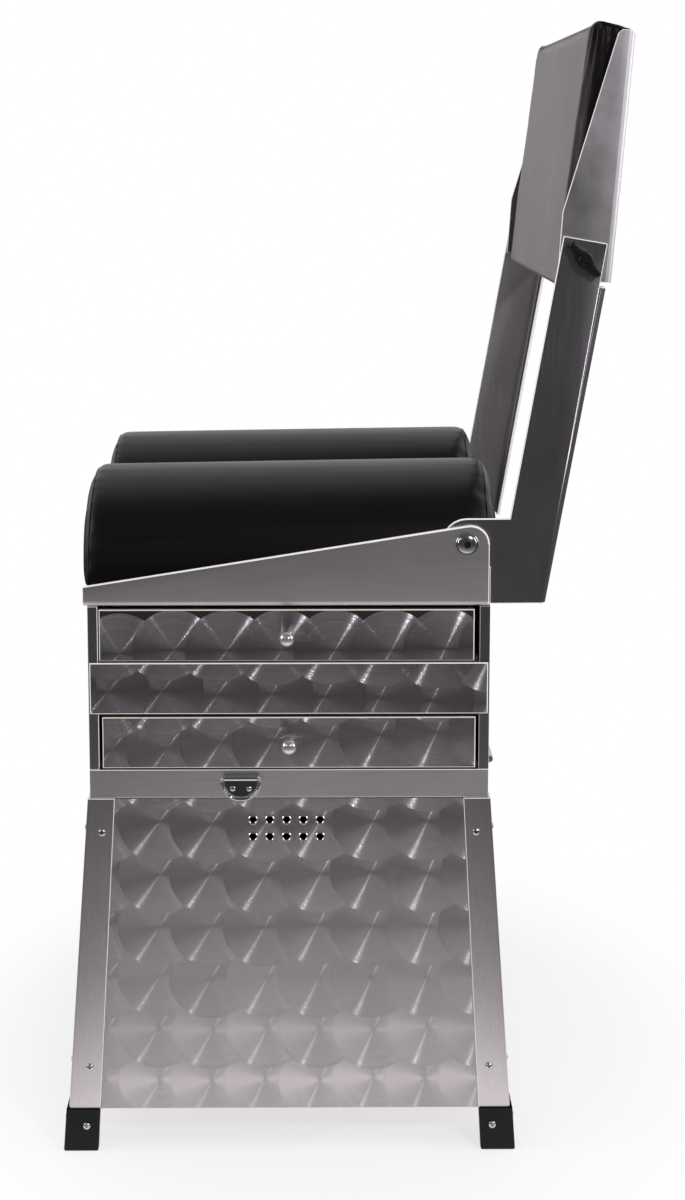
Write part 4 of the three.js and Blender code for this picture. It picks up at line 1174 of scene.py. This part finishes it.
# The clamp bolts and the moulded wing knobs that hold the pad's tilt: an S-shaped wing with a
# round hub, turned by finger and thumb.
black_plastic = moulded_black("black_plastic", (0.004, 0.004, 0.0045), 0.34, 0.2, 0.4)
wing_half = ((-0.0158, 0.0), (-0.0154, 0.0022), (-0.0138, 0.0034), (-0.0110, 0.0035),
             (-0.0076, 0.0042), (-0.0044, 0.0056), (0.0, 0.0060), (0.0040, 0.0048),
             (0.0072, 0.0032), (0.0108, 0.0026), (0.0140, 0.0026), (0.0154, 0.0016))
wing_turn = radians(-48)
wing_gap = 0.0004
wing_thickness = 0.0068
wing_round = 0.0013
hub_radius = 0.0052
hub_sink = 0.0004
hub_shoulder = 0.0008
hub_dish = 0.0006
dish_radii = (0.0030, 0.0026)
hub_rise = 0.0020
for side, name in sides:
    painted(f"clamp_bolt_{name}", zinc)
    low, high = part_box(f"wing_knob_{name}")
    foot = (low + high) / 2
    foot.y = high.y if side < 0 else low.y
    outline = wing_half + tuple((-a, -b) for a, b in wing_half)
    form = slab([(a, b, wing_gap) for a, b in outline], (0, 0, wing_thickness))
    rims = [e for e in form.edges if abs(e.verts[0].co.z - e.verts[1].co.z) < wing_gap]
    rounded(form, rims, wing_round, 3)
    top = wing_gap + wing_thickness - hub_sink
    crown = top + hub_rise
    hub = turned_profile([(0, top), (hub_radius, top), (hub_radius, top + hub_shoulder),
                          (hub_radius - hub_shoulder, crown), (dish_radii[0], crown),
                          (dish_radii[1], crown - hub_dish), (0, crown - hub_dish)], 36)
    wing = gathered_forms([form, hub])
    across_side = Matrix(((1, 0, 0), (0, 0, side), (0, 1, 0))).to_4x4()
    placed(wing, Matrix.Translation(foot) @ across_side @ Matrix.Rotation(wing_turn, 4, "Z"))
    bmesh.ops.recalc_face_normals(wing, faces=wing.faces)
    knob = piece(wing, f"{name}_wing_knob", f"wing_knob_{name}", "black_plastic", black_plastic,
                 smooth=radians(50))
    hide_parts(f"wing_knob_{name}")


# The photograph's setting: a white paper floor and backdrop, two small lamps in front and
# above, two tall soft ones at the sides, and a plain level of light all round.
floor_size = 8.0
form = bmesh.new()
bmesh.ops.create_grid(form, x_segments=1, y_segments=1, size=floor_size)
paper = bpy.data.materials.new("paper")
paper.use_nodes = True
paper.cycles.emission_sampling = "NONE"
floor = finished(form, "paper_floor", paper)
tree = paper.node_tree
tree.nodes.clear()
place = added(tree, "TexCoord").outputs["Object"]
# For glossy rays the floor glows: a painted pool of light, bright near the box and fading to dark further
# off, which the metal reflects.
narrowed = wire("Mapping", {"Vector": place, "Scale": (1.15, 1.0, 1.0)}).outputs[0]
length = wire("VectorMath", {0: narrowed}, operation="LENGTH").outputs["Value"]
span = 1.6
ramp = wire("ValToRGB", {"Fac": sum_up("DIVIDE", length, span)})
light_pool_stops = ((0.34, 0.92), (0.46, 0.66), (0.60, 0.36), (0.77, 0.25), (0.97, 0.21), (1.22, 0.16), (1.50, 0.07))
bands = ramp.color_ramp.elements
while len(bands) < len(light_pool_stops):
    bands.new(0.5)
for band, (reach, tone) in zip(bands, light_pool_stops):
    band.position = reach / span
for band, (reach, tone) in zip(bands, light_pool_stops):
    band.color = (tone, tone * 0.97, tone * 0.94, 1)
glossy_light_pool = wire("Emission", {"Color": ramp.outputs["Color"], "Strength": 1.0})
matt = added(tree, "BsdfDiffuse", {"Color": (0.92, 0.915, 0.91, 1)})
glow = added(tree, "Emission", {"Color": (1, 1, 1, 1), "Strength": 1.0})
rays = added(tree, "LightPath").outputs
seen = sum_up("MAXIMUM", rays["Is Camera Ray"], rays["Is Transmission Ray"])
white = sum_up("MULTIPLY", seen, ramped(length, 0.22, 0.45, 0.7, 1.0, "SMOOTHSTEP"))
shown = wire("MixShader", {0: white, 1: matt.outputs[0], 2: glow.outputs[0]})
shown = wire("MixShader", {0: rays["Is Glossy Ray"], 1: shown.outputs[0], 2: glossy_light_pool.outputs[0]})
wire("OutputMaterial", {0: shown.outputs[0]})

world = bpy.data.worlds.new("studio")
world.use_nodes = True
world.cycles.sampling_method = "NONE"
bpy.context.scene.world = world
tree = world.node_tree
tree.nodes.clear()
way = wire("SeparateXYZ", {"Vector": added(tree, "TexCoord").outputs["Generated"]}).outputs
above = ramped(way["Z"], 0.30, 0.75, 0.0, 0.04, "SMOOTHSTEP")
behind = ramped(way["Y"], -0.10, 0.35, 0.0, 1.0, "SMOOTHSTEP")
room = sum_up("ADD", sum_up("MAXIMUM", above, behind), 0.06)
room = sum_up("MINIMUM", room, 1.0)
plain_level = 0.7
rays = added(tree, "LightPath").outputs
studio = wire("Mix", {"Factor": rays["Is Glossy Ray"], "A": plain_level, "B": room},
              data_type="FLOAT").outputs["Result"]
seen = sum_up("MAXIMUM", rays["Is Camera Ray"], rays["Is Transmission Ray"])
studio = sum_up("MAXIMUM", studio, seen)
sky = wire("Background", {"Color": (1, 1, 1, 1), "Strength": studio})
wire("OutputWorld", {0: sky.outputs[0]})

lamps = (("right_lamp", (0.89, -1.50, 1.37), 0.15, 0.15, 8.6),
         ("left_lamp", (-1.29, -1.45, 1.36), 0.15, 0.15, 1.2),
         ("right_softbox", (1.35, -0.30, 0.85), 0.45, 0.75, 4.0),
         ("left_softbox", (-1.35, -0.30, 0.85), 0.45, 0.75, 4.0))
aim_height = 0.4
for name, spot, wide, tall, power in lamps:
    light = bpy.data.lights.new(name, "AREA")
    light.shape = "RECTANGLE"
    light.size = wide
    light.size_y = tall
    light.energy = power
    lamp = set_up(name, light)
    lamp.location = spot
    aim = Vector((0, 0, aim_height)) - Vector(spot)
    lamp.rotation_euler = aim.to_track_quat("-Z", "Y").to_euler()

picture_width, picture_height = 685, 1200
focal = 1810
axis_x, axis_y = 322.6, 372.2
film = 36.0
view = bpy.data.cameras.new("camera")
view.sensor_fit = "VERTICAL"
view.sensor_height = film
view.lens = film * focal / picture_height
view.shift_x = (picture_width / 2 - axis_x) / picture_height
view.shift_y = (axis_y - picture_height / 2) / picture_height
camera = set_up("camera", view)
camera.location = (-0.02303, -1.460, 0.74103)
pitch, yaw = radians(7.0), radians(0.4)
look = Vector((sin(yaw) * cos(pitch), cos(yaw) * cos(pitch), -sin(pitch)))
camera.rotation_euler = look.to_track_quat("-Z", "Y").to_euler()
bpy.context.scene.camera = camera
bpy.context.scene.view_settings.view_transform = "Standard"
